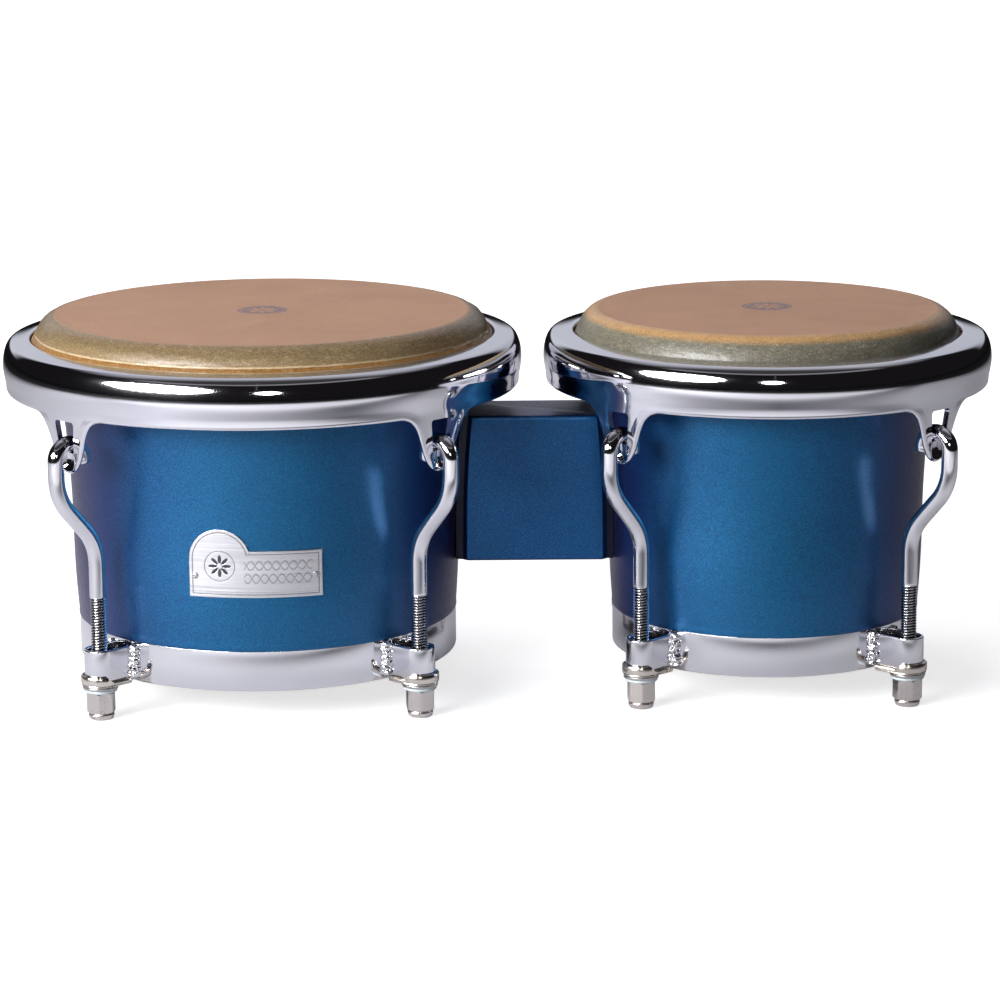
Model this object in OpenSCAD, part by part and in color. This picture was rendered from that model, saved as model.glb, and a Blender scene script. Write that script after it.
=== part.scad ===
// Pair of bongo drums: two flared wooden shells bolted to a centre block, each with a
// rawhide head pulled down by a pressed steel rim, four hook rods and four nuts.
// Units are millimetres. +Z is up, +X runs from the large drum to the small one, and -Y is
// the player's badge side. The origin is the middle of the footprint, level with the nut ends.

/* [Shells] */
// Outer radius of the large shell at its waist
large_waist_r = 97.5; // [94:0.5:101]
// Outer radius of the small shell at its waist
small_waist_r = 79.4; // [76:0.5:83]
// Thickness of the shell wall
wall_t = 10; // [8:0.5:12]
// Height of the waist above the underside of the bottom rings
waist_h = 62; // [56:1:68]
// Height of the bearing edge above the underside of the bottom rings
bearing_h = 170.4; // [168:0.4:174]
// Growth of the shell radius above the waist, per square millimetre of height
flare = 0.00086; // [0.0006:0.00002:0.00096]
// Loss of shell radius below the waist, per square millimetre of height
taper = 0.00105; // [0.0004:0.00005:0.0012]

/* [Centre block] */
// Clear distance between the two shells at the waist
shell_gap = 76.4; // [74:0.2:86]
// Size of the block from front to back
block_d = 43; // [36:1:50]
// Height of the block
block_h = 74.2; // [66:0.2:80]
// Height of the block's underside above the underside of the rings
block_lift = 46.8; // [44:0.2:52]
// Width of the recess along each shell
cove_w = 6.2; // [3:0.2:8]
// Depth of the recess from the block's front and back faces
cove_d = 4.5; // [2:0.5:7]

/* [Rims] */
// Outer radius of the large rim
large_rim_r = 129.9; // [129:0.1:133]
// Outer radius of the small rim
small_rim_r = 112.4; // [111.5:0.1:115]
// Width of the large rim from its opening to its outer face
large_rim_w = 13.9; // [13.2:0.1:14.6]
// Width of the small rim from its opening to its outer face
small_rim_w = 15.2; // [14.5:0.1:15.8]
// Thickness of the pressed steel
rim_t = 3.2; // [2.6:0.1:3.6]
// Height of the rim's top face above the underside of the bottom rings
rim_h = 158.6; // [157:0.2:160]
// Height of the band between the ears
band_h = 23.2; // [21:0.2:25]
// Height of the whole rim down to the ends of its ears
ear_drop = 51; // [49:0.5:53]
// Half width of an ear where its straight sides start
ear_half_w = 12.6; // [11.5:0.1:14]
// Radius of the arch that blends an ear into the band
arch_r = 13; // [9:0.5:15]
// Width of an ear's slot at its top
slot_top_w = 14; // [11:0.5:16]
// Width of an ear's slot at its foot
slot_foot_w = 10; // [8.6:0.2:11]

/* [Heads] */
// Thickness of the rawhide
skin_t = 1.6; // [1.2:0.1:2]
// Radius of the flesh hoop's steel wire
hoop_wire_r = 2.6; // [2:0.1:2.8]

/* [Tuning lugs] */
// Diameter of the hook rods and of their thread
rod_d = 8; // [7:0.5:8]
// Angle of the rods' inclined stretch from the vertical
sway_angle = 42; // [36:1:46]
// Radius of the rods' two sideways bends
sway_r = 26; // [20:1:28]
// Radius of the hooks' top bend
hook_r = 8; // [7.6:0.1:8.4]
// Size of the nuts across their flats
nut_af = 13; // [12:0.1:14]
// Height of the nuts
nut_h = 14; // [12:0.5:16]
// Depth of rod inside the nut
rod_engaged = 8; // [6:0.5:10]

/* [Bottom rings] */
// Height of the bottom rings
ring_h = 20; // [18:0.5:22]
// Thickness of the rings
ring_t = 2; // [1.5:0.1:3]
// Height of the lug brackets
bracket_h = 16; // [13:0.5:17]

/* [Badge] */
// Width of the badge along the shell
badge_w = 64.4; // [50:0.2:70]
// Height of the badge's plain part
badge_h = 23.3; // [18:0.1:28]
// Height of the arch above the badge's plain part
badge_arch_h = 10.6; // [9:0.2:11.6]
// Radius of the arch over the badge's left half
badge_arch_r = 15; // [12:0.5:17]
// Height of the badge's lower edge above the underside of the rings
badge_lift = 47.4; // [40:0.2:60]

/* [Hidden] */
$fn = 64;

LARGE = 0;
SMALL = 1;
// Sizes of the two drums, large first
waist_r = [large_waist_r, small_waist_r];
rim_r = [large_rim_r, small_rim_r];
rim_w = [large_rim_w, small_rim_w];
// The drums stand side by side, and the origin is the middle of their overall width
centre_gap = large_waist_r + shell_gap + small_waist_r;
overall_w = large_rim_r + centre_gap + small_rim_r;
drum_x = [large_rim_r - overall_w / 2, large_rim_r - overall_w / 2 + centre_gap];

// Directions of the four lugs of a drum, seen from above
FRONT_LEFT = 225;
FRONT_RIGHT = 315;
BACK_LEFT = 135;
BACK_RIGHT = 45;
lug_angles = [FRONT_LEFT, FRONT_RIGHT, BACK_LEFT, BACK_RIGHT];

// The stack under each bracket, from the nut's end upwards
nylon_t = 1.5;
nylon_r = 8.2;
steel_washer_t = 1.5;
steel_washer_r = 8.7;
saddle_t = 2.5;
saddle_lip_h = 3;
nylon_z = nut_h;
steel_washer_z = nylon_z + nylon_t;
saddle_z = steel_washer_z + steel_washer_t;
bracket_z = saddle_z + saddle_t;
ring_z = bracket_z - 2;
washer_hole_r = rod_d / 2 + 0.3;
running_gap = 0.05;

// Levels that are measured from the underside of the bottom rings
waist_z = ring_z + waist_h;
bearing_z = ring_z + bearing_h;
rim_z = ring_z + rim_h;
block_z = ring_z + block_lift;
badge_z = ring_z + badge_lift;
ring_top_z = ring_z + ring_h;

// The rim's section and the hook's place in it
rim_in_r = [for (d = [LARGE, SMALL]) rim_r[d] - rim_w[d]];
crown_w = 5;
crown_h = 10.5;
// The crown's inner lip and the top of its outer bend stand this much above the rim's level
lip_rise = 2.6;
bend_rise = 1.5;
tuck_w = 1.6;
tuck_h = 8.2;
tuck_turn = 60;
tuck_stretch = 1.15;
// The pressed steel is thinner than its top by this much inside the crown's bend
crown_inset = 1.2;
ear_lean = 1;
ear_end_r = 9.5;
// The arches that blend an ear into the band bite this far into it
arch_bite = 2;
web_h = 10;
ear_foot_z = rim_z - ear_drop;
slot_foot_z = ear_foot_z + web_h;
slot_top_z = slot_foot_z + web_h + 6;
// The hooks sit on the slot foot's two edges, so their bends start a little above it
hook_rest = 0.6;
hook_z = slot_foot_z - hook_r + rod_d / 2 + hook_rest;
hook_tip_h = 3;
hook_in_r = [for (d = [LARGE, SMALL]) rim_r[d] - tuck_w - ear_lean - rim_t / 2 - hook_r];
hook_out_r = [for (d = [LARGE, SMALL]) hook_in_r[d] + 2 * hook_r];
// The rod steps inwards by this much between the hook and the thread
sway_w = 23;
rod_r = [for (d = [LARGE, SMALL]) hook_out_r[d] - sway_w];
sway_run = (sway_w - 2 * sway_r * (1 - cos(sway_angle))) / sin(sway_angle);
sway_z = hook_z - 8;
rod_end_z = nut_h - rod_engaged;
// Straight stretches of rod run this far into the bends, and are this much thinner
nest_lap = 0.3;
nest_step = 0.03;

// Shell and ring radii
function shell_r(d, z) =
    waist_r[d] + (z > waist_z ? flare * pow(z - waist_z, 2) : -taper * pow(waist_z - z, 2));
ring_r = [for (d = [LARGE, SMALL]) shell_r(d, ring_top_z)];
top_r = [for (d = [LARGE, SMALL]) shell_r(d, bearing_z)];
edge_round = 5;
ring_lip_w = 6;

// The head's section: a flat top, a shoulder, then a skirt that wraps the flesh hoop
head_z = bearing_z + skin_t;
shoulder_w = 11.5;
shoulder_h = 12;
crease_angle = 31.5;
skirt_t = 3;
// The skirt's top meets the crease inside its edge by this much, and just under it
skirt_tuck = 0.3;
crease_gap = 0.1;
wrap_t = 1.3;
skirt_r = [for (d = [LARGE, SMALL]) rim_in_r[d] - 0.7];
hoop_r = [for (d = [LARGE, SMALL]) rim_in_r[d] + 2.1];
hoop_z = rim_z - rim_t - hoop_wire_r - wrap_t - crease_gap;

// Lug bracket: a strap bent round the rod and welded to the ring
strap_t = 1.8;
strap_r = 7.6;
weld_r = 2.2;
// The weld beads stand out from the strap's sides by this much
weld_out = 0.6;
// The saddle's seat is wider than the strap by this much on each side, and stops short of the ring
saddle_play = 0.1;
saddle_stop = 2;
saddle_lip_t = 1.8;

// Bolts that hold the block between the shells
bolt_d = 8;
bolt_hole_r = bolt_d / 2 + 0.2;
bolt_zs = [block_z + 17, block_z + block_h - 17];
bolt_head_h = 5.3;
bolt_hex_r = 7.5;
bolt_washer_r = 11;
bolt_washer_t = 1.6;
bolt_nut_h = 6.5;
bolt_spare = 3;
// Flat washers sit against a hollow wall, so they touch it at their rims
washer_fit = 0.2;
function seat_x(d, z) =
    sqrt(pow(shell_r(d, z) - wall_t, 2) - pow(bolt_washer_r, 2)) - washer_fit;

// Badge plate, bent to the shell
badge_t = 0.8;
badge_gap = 0.05;
badge_half_angle = badge_w / 2 / waist_r[LARGE] * 180 / PI;
pin_r = 0.8;
pin_head_r = 1.7;
pin_head_h = 0.7;
pin_depth = 6;
pin_inset_angle = 1.6;
pin_z = badge_z + badge_h * 0.46;

// Points along a quarter or a part of an ellipse
function arc(cx, cz, ax, az, from, to, steps = 8) =
    [for (i = [0:steps]) let (a = from + (to - from) * i / steps) [cx + ax * cos(a), cz + az * sin(a)]];

// Outline of the shell's outer face between two heights, moved outwards by grow
function shell_side(d, z0, z1, grow = 0, steps = 14) =
    [for (i = [0:steps]) let (z = z0 + (z1 - z0) * i / steps) [shell_r(d, z) + grow, z]];

module on_drum(d) {
    translate([drum_x[d], 0, 0]) children();
}

// Places a part at one lug, with +X pointing away from the drum's axis
module at_lug(angle, r) {
    rotate([0, 0, angle]) translate([r, 0, 0]) children();
}

module at_lugs(d) {
    for (angle = lug_angles) at_lug(angle, rod_r[d]) children();
}

// The space a shell takes, from below the block to above it
module shell_space(d, grow) {
    side = shell_side(d, block_z - 5, block_z + block_h + 5, grow);
    rotate_extrude($fn = 128)
        polygon(concat([[0, block_z - 5]], side, [[0, block_z + block_h + 5]]));
}

module shell_section(d) {
    in_shift = -wall_t;
    foot_r = ring_r[d] - ring_t - running_gap;
    outer = shell_side(d, ring_top_z, bearing_z - edge_round);
    edge = arc(top_r[d] - edge_round, bearing_z - edge_round, edge_round, edge_round, 10, 90, 6);
    inner = shell_side(d, bearing_z, bracket_z, in_shift);
    polygon(concat([[foot_r, bracket_z], [foot_r, ring_top_z]], outer, edge, inner));
}

module bolt_holes() {
    for (z = bolt_zs)
        translate([0, 0, z]) rotate([0, 90, 0]) cylinder(r = bolt_hole_r, h = overall_w / 2);
}

module shell(d) {
    color("steelblue") difference() {
        rotate_extrude($fn = 128) shell_section(d);
        rotate([0, 0, d == LARGE ? 0 : 180]) bolt_holes();
        if (d == LARGE) badge_pin_shapes(pin_r + running_gap, 0, pin_depth + 1);
    }
}

module head_skin(d) {
    cx = top_r[d] - edge_round;
    cz = head_z - shoulder_h;
    outer = arc(cx, cz, shoulder_w, shoulder_h, crease_angle, 90);
    inner = arc(cx, cz, shoulder_w - skin_t, shoulder_h - skin_t, 90, crease_angle);
    color("tan") rotate_extrude($fn = 128)
        polygon(concat(outer, [[0, head_z], [0, bearing_z]], inner));
}

module skin_skirt(d) {
    cx = top_r[d] - edge_round;
    crease_z = head_z - shoulder_h + (shoulder_h - skin_t) * sin(crease_angle) - crease_gap;
    crease_r = cx + shoulder_w * cos(crease_angle);
    bulge_h = crease_z - rim_z + 1;
    color("peru") rotate_extrude($fn = 128) difference() {
        union() {
            polygon(concat(
                [[skirt_r[d] - skirt_t, hoop_z], [skirt_r[d], hoop_z], [skirt_r[d], crease_z - bulge_h]],
                arc(skirt_r[d] - skirt_t, crease_z - bulge_h, skirt_t, bulge_h, 15, 75, 4),
                [[crease_r - skirt_tuck, crease_z], [crease_r - skin_t - crease_gap, crease_z]]));
            translate([hoop_r[d], hoop_z]) circle(hoop_wire_r + wrap_t);
        }
        translate([hoop_r[d], hoop_z]) circle(hoop_wire_r + running_gap);
    }
}

module flesh_hoop(d) {
    color("silver") rotate_extrude($fn = 128)
        translate([hoop_r[d], hoop_z]) circle(hoop_wire_r);
}

module band_section(d) {
    r = rim_r[d];
    foot_z = rim_z - band_h;
    crown = arc(r - crown_w, rim_z - crown_h, crown_w, crown_h + bend_rise, 90, 0);
    tuck = arc(r - tuck_w * 2, foot_z + tuck_h, tuck_w * 2, tuck_h * tuck_stretch, 0, -tuck_turn, 4);
    tuck_foot = tuck[len(tuck) - 1];
    polygon(concat([[rim_in_r[d], rim_z + lip_rise]], crown, tuck, [
        [tuck_foot[0] - rim_t, tuck_foot[1]],
        [r - rim_t, foot_z + tuck_h],
        [r - rim_t, rim_z - crown_h],
        [r - crown_w - crown_inset, rim_z - rim_t],
        [rim_in_r[d], rim_z - rim_t]]));
}

module ear_skirt_section(d) {
    top_out_r = rim_r[d] - tuck_w;
    foot_out_r = top_out_r - ear_lean * 2;
    ear_top_z = rim_z - band_h + tuck_w;
    polygon([
        [top_out_r - rim_t, ear_top_z], [top_out_r, ear_top_z],
        [foot_out_r, ear_foot_z], [foot_out_r - rim_t, ear_foot_z]]);
}

// Outline of one ear, across (x) and up (y)
module ear_outline() {
    end_z = ear_foot_z + ear_end_r;
    side_z = rim_z - band_h - arch_r + arch_bite;
    difference() {
        union() {
            translate([0, end_z]) circle(ear_end_r);
            polygon([[-ear_end_r, end_z], [ear_end_r, end_z], [ear_half_w, side_z], [-ear_half_w, side_z]]);
            translate([-ear_half_w - arch_r, side_z])
                square([2 * (ear_half_w + arch_r), arch_r + 3 * arch_bite]);
        }
        for (side = [-1, 1])
            translate([side * (ear_half_w + arch_r), side_z]) circle(arch_r);
    }
}

module slot_outline() {
    polygon([
        [-slot_foot_w / 2, slot_foot_z], [slot_foot_w / 2, slot_foot_z],
        [slot_top_w / 2, slot_top_z], [-slot_top_w / 2, slot_top_z]]);
}

// Extrudes an outline away from the drum's axis in one lug's direction
module towards_lug(angle, r0, r1) {
    rotate([0, 0, angle]) translate([r0, 0, 0]) rotate([90, 0, 90])
        linear_extrude(r1 - r0) children();
}

module rim(d) {
    r = rim_r[d];
    color("gainsboro") difference() {
        union() {
            rotate_extrude($fn = 128) band_section(d);
            intersection() {
                rotate_extrude($fn = 128) ear_skirt_section(d);
                union() for (angle = lug_angles)
                    towards_lug(angle, r - 2 * rim_w[d], r + rim_t) ear_outline();
            }
        }
        for (angle = lug_angles) towards_lug(angle, r - 2 * rim_w[d], r + rim_t) slot_outline();
    }
}

// A bent stretch of rod in the upright plane through the drum's axis
module rod_bend(r, from, to) {
    rotate([90, 0, 0]) rotate([0, 0, from])
        rotate_extrude(angle = to - from) translate([r, 0]) circle(rod_d / 2);
}

// A straight stretch of rod, a hair thinner than the bends that its ends nest in
module rod_straight(h, low_lap = nest_lap, high_lap = nest_lap) {
    translate([0, 0, -low_lap]) cylinder(r = rod_d / 2 - nest_step, h = h + low_lap + high_lap);
}

// One hook rod, placed with its thread on the Z axis and its hook on the +X side
module hook_rod() {
    out_x = sway_w;
    in_x = sway_w - 2 * hook_r;
    low_z = sway_z - 2 * sway_r * sin(sway_angle) - sway_run * cos(sway_angle);
    translate([in_x, 0, hook_z - hook_tip_h]) rod_straight(hook_tip_h, low_lap = 0);
    translate([in_x + hook_r, 0, hook_z]) rod_bend(hook_r, 0, 180);
    translate([out_x, 0, sway_z]) rod_straight(hook_z - sway_z);
    translate([out_x - sway_r, 0, sway_z]) rod_bend(sway_r, -sway_angle, 0);
    translate([sway_r, 0, low_z]) {
        rod_bend(sway_r, 180 - sway_angle, 180);
        rotate([0, sway_angle, 0]) translate([-sway_r, 0, 0]) rod_straight(sway_run);
    }
    translate([0, 0, rod_end_z + 1]) rod_straight(low_z - rod_end_z - 1, low_lap = 0);
    translate([0, 0, rod_end_z]) cylinder(r1 = rod_d / 2 - 1, r2 = rod_d / 2 - nest_step, h = 1);
}

module tuning_hooks(d) {
    color("gainsboro") at_lugs(d) hook_rod();
}

module bottom_ring(d) {
    r = ring_r[d];
    color("gainsboro") rotate_extrude($fn = 128) union() {
        translate([r - ring_t, ring_z]) square([ring_t, ring_h]);
        translate([r - ring_t - ring_lip_w, ring_z]) square([ring_lip_w, bracket_z - ring_z]);
    }
}

// Plan of a strap or plate that has a round outer end and reaches in towards the ring
module lug_plan(half_w, reach) {
    circle(half_w);
    translate([-reach, -half_w]) square([reach, 2 * half_w]);
}

module lug_brackets(d) {
    reach = rod_r[d] - ring_r[d] + 2 * ring_t;
    weld_x = sqrt(pow(ring_r[d], 2) - pow(strap_r + weld_r / 2, 2)) - rod_r[d] + weld_r / 2;
    color("gainsboro") difference() {
        at_lugs(d) translate([0, 0, bracket_z]) {
            linear_extrude(bracket_h) difference() {
                lug_plan(strap_r, reach);
                lug_plan(strap_r - strap_t, reach + 1);
            }
            for (side = [-1, 1]) translate([weld_x, side * (strap_r + weld_out), 0])
                cylinder(r = weld_r, h = bracket_h);
        }
        cylinder(r = ring_r[d] + 0.01, h = rim_z, $fn = 128);
    }
}

module saddle_washers(d) {
    seat_r = strap_r + saddle_play;
    half_w = seat_r + saddle_lip_t;
    reach = rod_r[d] - ring_r[d] - saddle_stop;
    color("tan") at_lugs(d) translate([0, 0, saddle_z]) difference() {
        union() {
            linear_extrude(saddle_t) lug_plan(half_w, reach);
            linear_extrude(saddle_t + saddle_lip_h) difference() {
                circle(half_w);
                circle(seat_r);
                translate([-2 * half_w, -half_w]) square([2 * half_w, 2 * half_w]);
            }
        }
        translate([0, 0, -1]) cylinder(r = washer_hole_r, h = saddle_t + 2);
    }
}

module lug_washers(d, r, t, z, tint) {
    color(tint) at_lugs(d) translate([0, 0, z]) linear_extrude(t) difference() {
        circle(r);
        circle(washer_hole_r);
    }
}

module nut(d, angle) {
    collar_h = 2.8;
    neck_h = 0.7;
    neck_in = 0.6;
    collar_round = 1.5;
    chamfer_in = 0.2;
    hex_z = collar_h + neck_h;
    flat_r = nut_af / 2;
    corner_r = flat_r / cos(30) + 0.1;
    color("rosybrown") at_lug(angle, rod_r[d]) difference() {
        union() {
            intersection() {
                translate([0, 0, hex_z]) linear_extrude(nut_h - hex_z)
                    circle(flat_r / cos(30), $fn = 6);
                rotate_extrude() polygon([
                    [0, hex_z], [flat_r - chamfer_in, hex_z], [corner_r, hex_z + 1],
                    [corner_r, nut_h - 1], [flat_r - chamfer_in, nut_h], [0, nut_h]]);
            }
            cylinder(r = flat_r - neck_in, h = hex_z + 1);
            rotate_extrude() polygon(concat(
                [[0, collar_h], [0, 0], [flat_r - collar_round, 0]],
                arc(flat_r - collar_round, collar_h / 2, collar_round - 0.1, collar_h / 2, -70, 0, 4),
                [[flat_r - 0.1, collar_h]]));
        }
        translate([0, 0, -1]) cylinder(d = rod_d + 2 * running_gap, h = nut_h + 2);
    }
}

module centre_block() {
    color("steelblue") difference() {
        translate([drum_x[LARGE], -block_d / 2, block_z]) cube([centre_gap, block_d, block_h]);
        for (d = [LARGE, SMALL]) on_drum(d) {
            shell_space(d, running_gap);
            intersection() {
                shell_space(d, cove_w);
                for (side = [-1, 1]) translate([-overall_w, side * block_d / 2 - cove_d, block_z - 1])
                    cube([2 * overall_w, 2 * cove_d, block_h + 2]);
            }
        }
        for (z = bolt_zs)
            translate([drum_x[LARGE], 0, z]) rotate([0, 90, 0]) cylinder(r = bolt_hole_r, h = centre_gap);
    }
}

// Where the bolt's two washers bear on the insides of the shells
function bolt_head_x(z) = drum_x[LARGE] + seat_x(LARGE, z);
function bolt_nut_x(z) = drum_x[SMALL] - seat_x(SMALL, z);

module along_x(x, z) {
    translate([x, 0, z]) rotate([0, 90, 0]) children();
}

module block_bolts() {
    color("silver") for (z = bolt_zs) {
        head_x = bolt_head_x(z) - bolt_washer_t;
        shank = bolt_nut_x(z) - head_x + bolt_washer_t + bolt_nut_h + bolt_spare;
        along_x(head_x - bolt_head_h, z) cylinder(r = bolt_hex_r, h = bolt_head_h, $fn = 6);
        along_x(head_x, z) cylinder(d = bolt_d, h = shank);
    }
}

module block_bolt_washers() {
    color("silver") for (z = bolt_zs)
        for (x = [bolt_head_x(z) - bolt_washer_t, bolt_nut_x(z)]) along_x(x, z) difference() {
            cylinder(r = bolt_washer_r, h = bolt_washer_t);
            translate([0, 0, -1]) cylinder(r = bolt_hole_r, h = bolt_washer_t + 2);
        }
}

module block_bolt_nuts() {
    color("silver") for (z = bolt_zs) along_x(bolt_nut_x(z) + bolt_washer_t, z) difference() {
        cylinder(r = bolt_hex_r, h = bolt_nut_h, $fn = 6);
        translate([0, 0, -1]) cylinder(d = bolt_d + 2 * running_gap, h = bolt_nut_h + 2);
    }
}

// Outline of the badge as seen from the front: a rectangle with an arch over its left half
module badge_outline() {
    half_w = waist_r[LARGE] * sin(badge_half_angle);
    arch_x = -half_w + badge_arch_r;
    arch_z = badge_z + badge_h + badge_arch_h - badge_arch_r;
    translate([-half_w, badge_z]) square([2 * half_w, badge_h]);
    translate([-half_w, badge_z]) square([2 * badge_arch_r, arch_z - badge_z]);
    translate([arch_x, arch_z]) circle(badge_arch_r);
}

// The two pins' shapes, from a depth under the shell's face to a height above it
module badge_pin_shapes(r, above, below) {
    face_r = shell_r(LARGE, pin_z);
    for (side = [-1, 1]) rotate([0, 0, 270 + side * (badge_half_angle - pin_inset_angle)])
        translate([face_r - below, 0, pin_z]) rotate([0, 90, 0]) cylinder(r = r, h = above + below);
}

module badge_plate() {
    low_z = badge_z - 2;
    high_z = badge_z + badge_h + badge_arch_h + 3;
    color("lightgray") on_drum(LARGE) difference() {
        intersection() {
            rotate_extrude($fn = 128) polygon(concat(
                shell_side(LARGE, low_z, high_z, badge_gap + badge_t, 5),
                shell_side(LARGE, high_z, low_z, badge_gap, 5)));
            rotate([90, 0, 0]) linear_extrude(rim_r[LARGE]) badge_outline();
        }
        badge_pin_shapes(pin_r + running_gap, 5, 5);
    }
}

module badge_pins() {
    face = badge_gap + badge_t + 0.1;
    color("silver") on_drum(LARGE) {
        badge_pin_shapes(pin_r, face, pin_depth);
        badge_pin_shapes(pin_head_r, face + pin_head_h, -face);
    }
}

on_drum(LARGE) shell(LARGE);  // large_shell
on_drum(LARGE) head_skin(LARGE);  // large_head_skin
on_drum(LARGE) skin_skirt(LARGE);  // large_skin_skirt
on_drum(LARGE) flesh_hoop(LARGE);  // large_flesh_hoop
on_drum(LARGE) rim(LARGE);  // large_rim
on_drum(LARGE) tuning_hooks(LARGE);  // large_tuning_hooks
on_drum(LARGE) bottom_ring(LARGE);  // large_bottom_ring
on_drum(LARGE) lug_brackets(LARGE);  // large_lug_brackets
on_drum(LARGE) saddle_washers(LARGE);  // large_saddle_washers
on_drum(LARGE) lug_washers(LARGE, steel_washer_r, steel_washer_t, steel_washer_z, "silver");  // large_steel_washers
on_drum(LARGE) lug_washers(LARGE, nylon_r, nylon_t, nylon_z, "lightblue");  // large_nylon_washers
on_drum(LARGE) nut(LARGE, FRONT_LEFT);  // large_nut_front_left
on_drum(LARGE) nut(LARGE, FRONT_RIGHT);  // large_nut_front_right
on_drum(LARGE) nut(LARGE, BACK_LEFT);  // large_nut_back_left
on_drum(LARGE) nut(LARGE, BACK_RIGHT);  // large_nut_back_right
on_drum(SMALL) shell(SMALL);  // small_shell
on_drum(SMALL) head_skin(SMALL);  // small_head_skin
on_drum(SMALL) skin_skirt(SMALL);  // small_skin_skirt
on_drum(SMALL) flesh_hoop(SMALL);  // small_flesh_hoop
on_drum(SMALL) rim(SMALL);  // small_rim
on_drum(SMALL) tuning_hooks(SMALL);  // small_tuning_hooks
on_drum(SMALL) bottom_ring(SMALL);  // small_bottom_ring
on_drum(SMALL) lug_brackets(SMALL);  // small_lug_brackets
on_drum(SMALL) saddle_washers(SMALL);  // small_saddle_washers
on_drum(SMALL) lug_washers(SMALL, steel_washer_r, steel_washer_t, steel_washer_z, "silver");  // small_steel_washers
on_drum(SMALL) lug_washers(SMALL, nylon_r, nylon_t, nylon_z, "lightblue");  // small_nylon_washers
on_drum(SMALL) nut(SMALL, FRONT_LEFT);  // small_nut_front_left
on_drum(SMALL) nut(SMALL, FRONT_RIGHT);  // small_nut_front_right
on_drum(SMALL) nut(SMALL, BACK_LEFT);  // small_nut_back_left
on_drum(SMALL) nut(SMALL, BACK_RIGHT);  // small_nut_back_right
centre_block();
block_bolts();
block_bolt_washers();
block_bolt_nuts();
badge_plate();
badge_pins();
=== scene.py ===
import math

import bmesh
import bpy
import numpy as np
from mathutils import Matrix, Vector, noise


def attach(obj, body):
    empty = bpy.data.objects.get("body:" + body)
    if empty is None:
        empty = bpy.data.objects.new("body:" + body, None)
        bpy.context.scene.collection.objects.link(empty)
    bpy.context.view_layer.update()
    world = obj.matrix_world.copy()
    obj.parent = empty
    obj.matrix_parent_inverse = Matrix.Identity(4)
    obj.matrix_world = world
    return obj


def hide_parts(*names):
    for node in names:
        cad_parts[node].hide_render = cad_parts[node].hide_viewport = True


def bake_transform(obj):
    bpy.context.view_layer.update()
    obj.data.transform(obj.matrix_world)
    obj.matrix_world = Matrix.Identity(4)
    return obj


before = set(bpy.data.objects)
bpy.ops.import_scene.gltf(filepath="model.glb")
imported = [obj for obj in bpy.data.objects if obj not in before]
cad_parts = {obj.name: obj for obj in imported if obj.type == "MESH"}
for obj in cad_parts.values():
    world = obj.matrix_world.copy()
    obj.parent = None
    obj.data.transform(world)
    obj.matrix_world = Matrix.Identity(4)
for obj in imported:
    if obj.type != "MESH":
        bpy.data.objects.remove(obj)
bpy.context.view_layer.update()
scene = bpy.context.scene
scene.view_settings.view_transform = "Standard"

# Geometry is in millimetres, in the CAD model's frame
MM = 0.001
LUGS = {"front_left": 225, "front_right": 315, "back_left": 135, "back_right": 45}
RING_Z, RING_TOP, PLATE_Z, SADDLE_Z, WASHER_Z, NYLON_Z = 17.5, 37.5, 19.5, 17.0, 15.5, 14.0
WAIST_Z, BEARING_Z, HEAD_Z = 79.5, 187.9, 189.5
RIM_Z, BAND_FOOT, CROWN_FOOT, CROWN_W = 176.1, 152.9, 165.6, 5.0
LIP_Z, BEND_Z = 178.7, 177.6
EAR_FOOT, SLOT_FOOT, SLOT_TOP = 125.1, 135.1, 151.1
PITCH = 1.41
BLOCK_Z0, BLOCK_Z1, BLOCK_HALF = 64.3, 138.5, 21.5
# How the shell's outer face widens above and below its waist, per mm squared
FLARE_UP, FLARE_DOWN = 0.00086, 0.00105
WALL, EDGE_ROUND, SKIN_T, RIM_T = 10.0, 5.0, 1.6, 3.0
HOOP_OUT, HOOP_Z, WRAP_R = 2.1, 168.9, 3.9
ROD_R, BORE_R = 3.98, 4.3
# The heads' dome is drawn over this angle, and the hide is moulded above this height
DOME_TURN, MOULDED_Z = 1.2, 174.0
# Half of the straight band's gap at an ear, and where the arch turns into the ear
ARCH_HALF, EAR_HALF, EAR_TURN_Z = 26.5, 11.8, 139.2
BADGE_HALF, BADGE_FOOT, BADGE_TOP, BADGE_ARCH = 32.2, 64.9, 88.2, 15.0


class Drum:
    """A drum's place along x, its radii, and its head's crease as (radius, height)."""

    def __init__(self, name, cx, waist, rim, opening, rod, crease):
        self.name, self.cx, self.waist, self.rim = name, cx, waist, rim
        self.opening, self.rod, self.crease = opening, rod, crease
        self.ring = self.side(RING_TOP)
        self.top = self.side(BEARING_Z)

    def side(self, z):
        """Radius of the shell's outer face at a height."""
        up = np.maximum(z - WAIST_Z, 0)
        down = np.maximum(WAIST_Z - z, 0)
        return self.waist + FLARE_UP * up ** 2 - FLARE_DOWN * down ** 2

    def at(self, angle):
        """Plan position of a lug's rod."""
        a = math.radians(angle)
        return self.cx + self.rod * math.cos(a), self.rod * math.sin(a)


LARGE = Drum("large", -117.9, 97.5, 129.9, 116.0, 110.7, (113.2, 181.0))
SMALL = Drum("small", 135.4, 79.4, 112.4, 97.2, 93.2, (95.8, 177.6))
DRUMS = (LARGE, SMALL)


# ---- mesh helpers ----

def shade(mesh, sharp):
    """Smooth shading, with the edges over `sharp` degrees left sharp."""
    mesh.polygons.foreach_set("use_smooth", [True] * len(mesh.polygons))
    mesh.set_sharp_from_angle(angle=math.radians(sharp))


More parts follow.
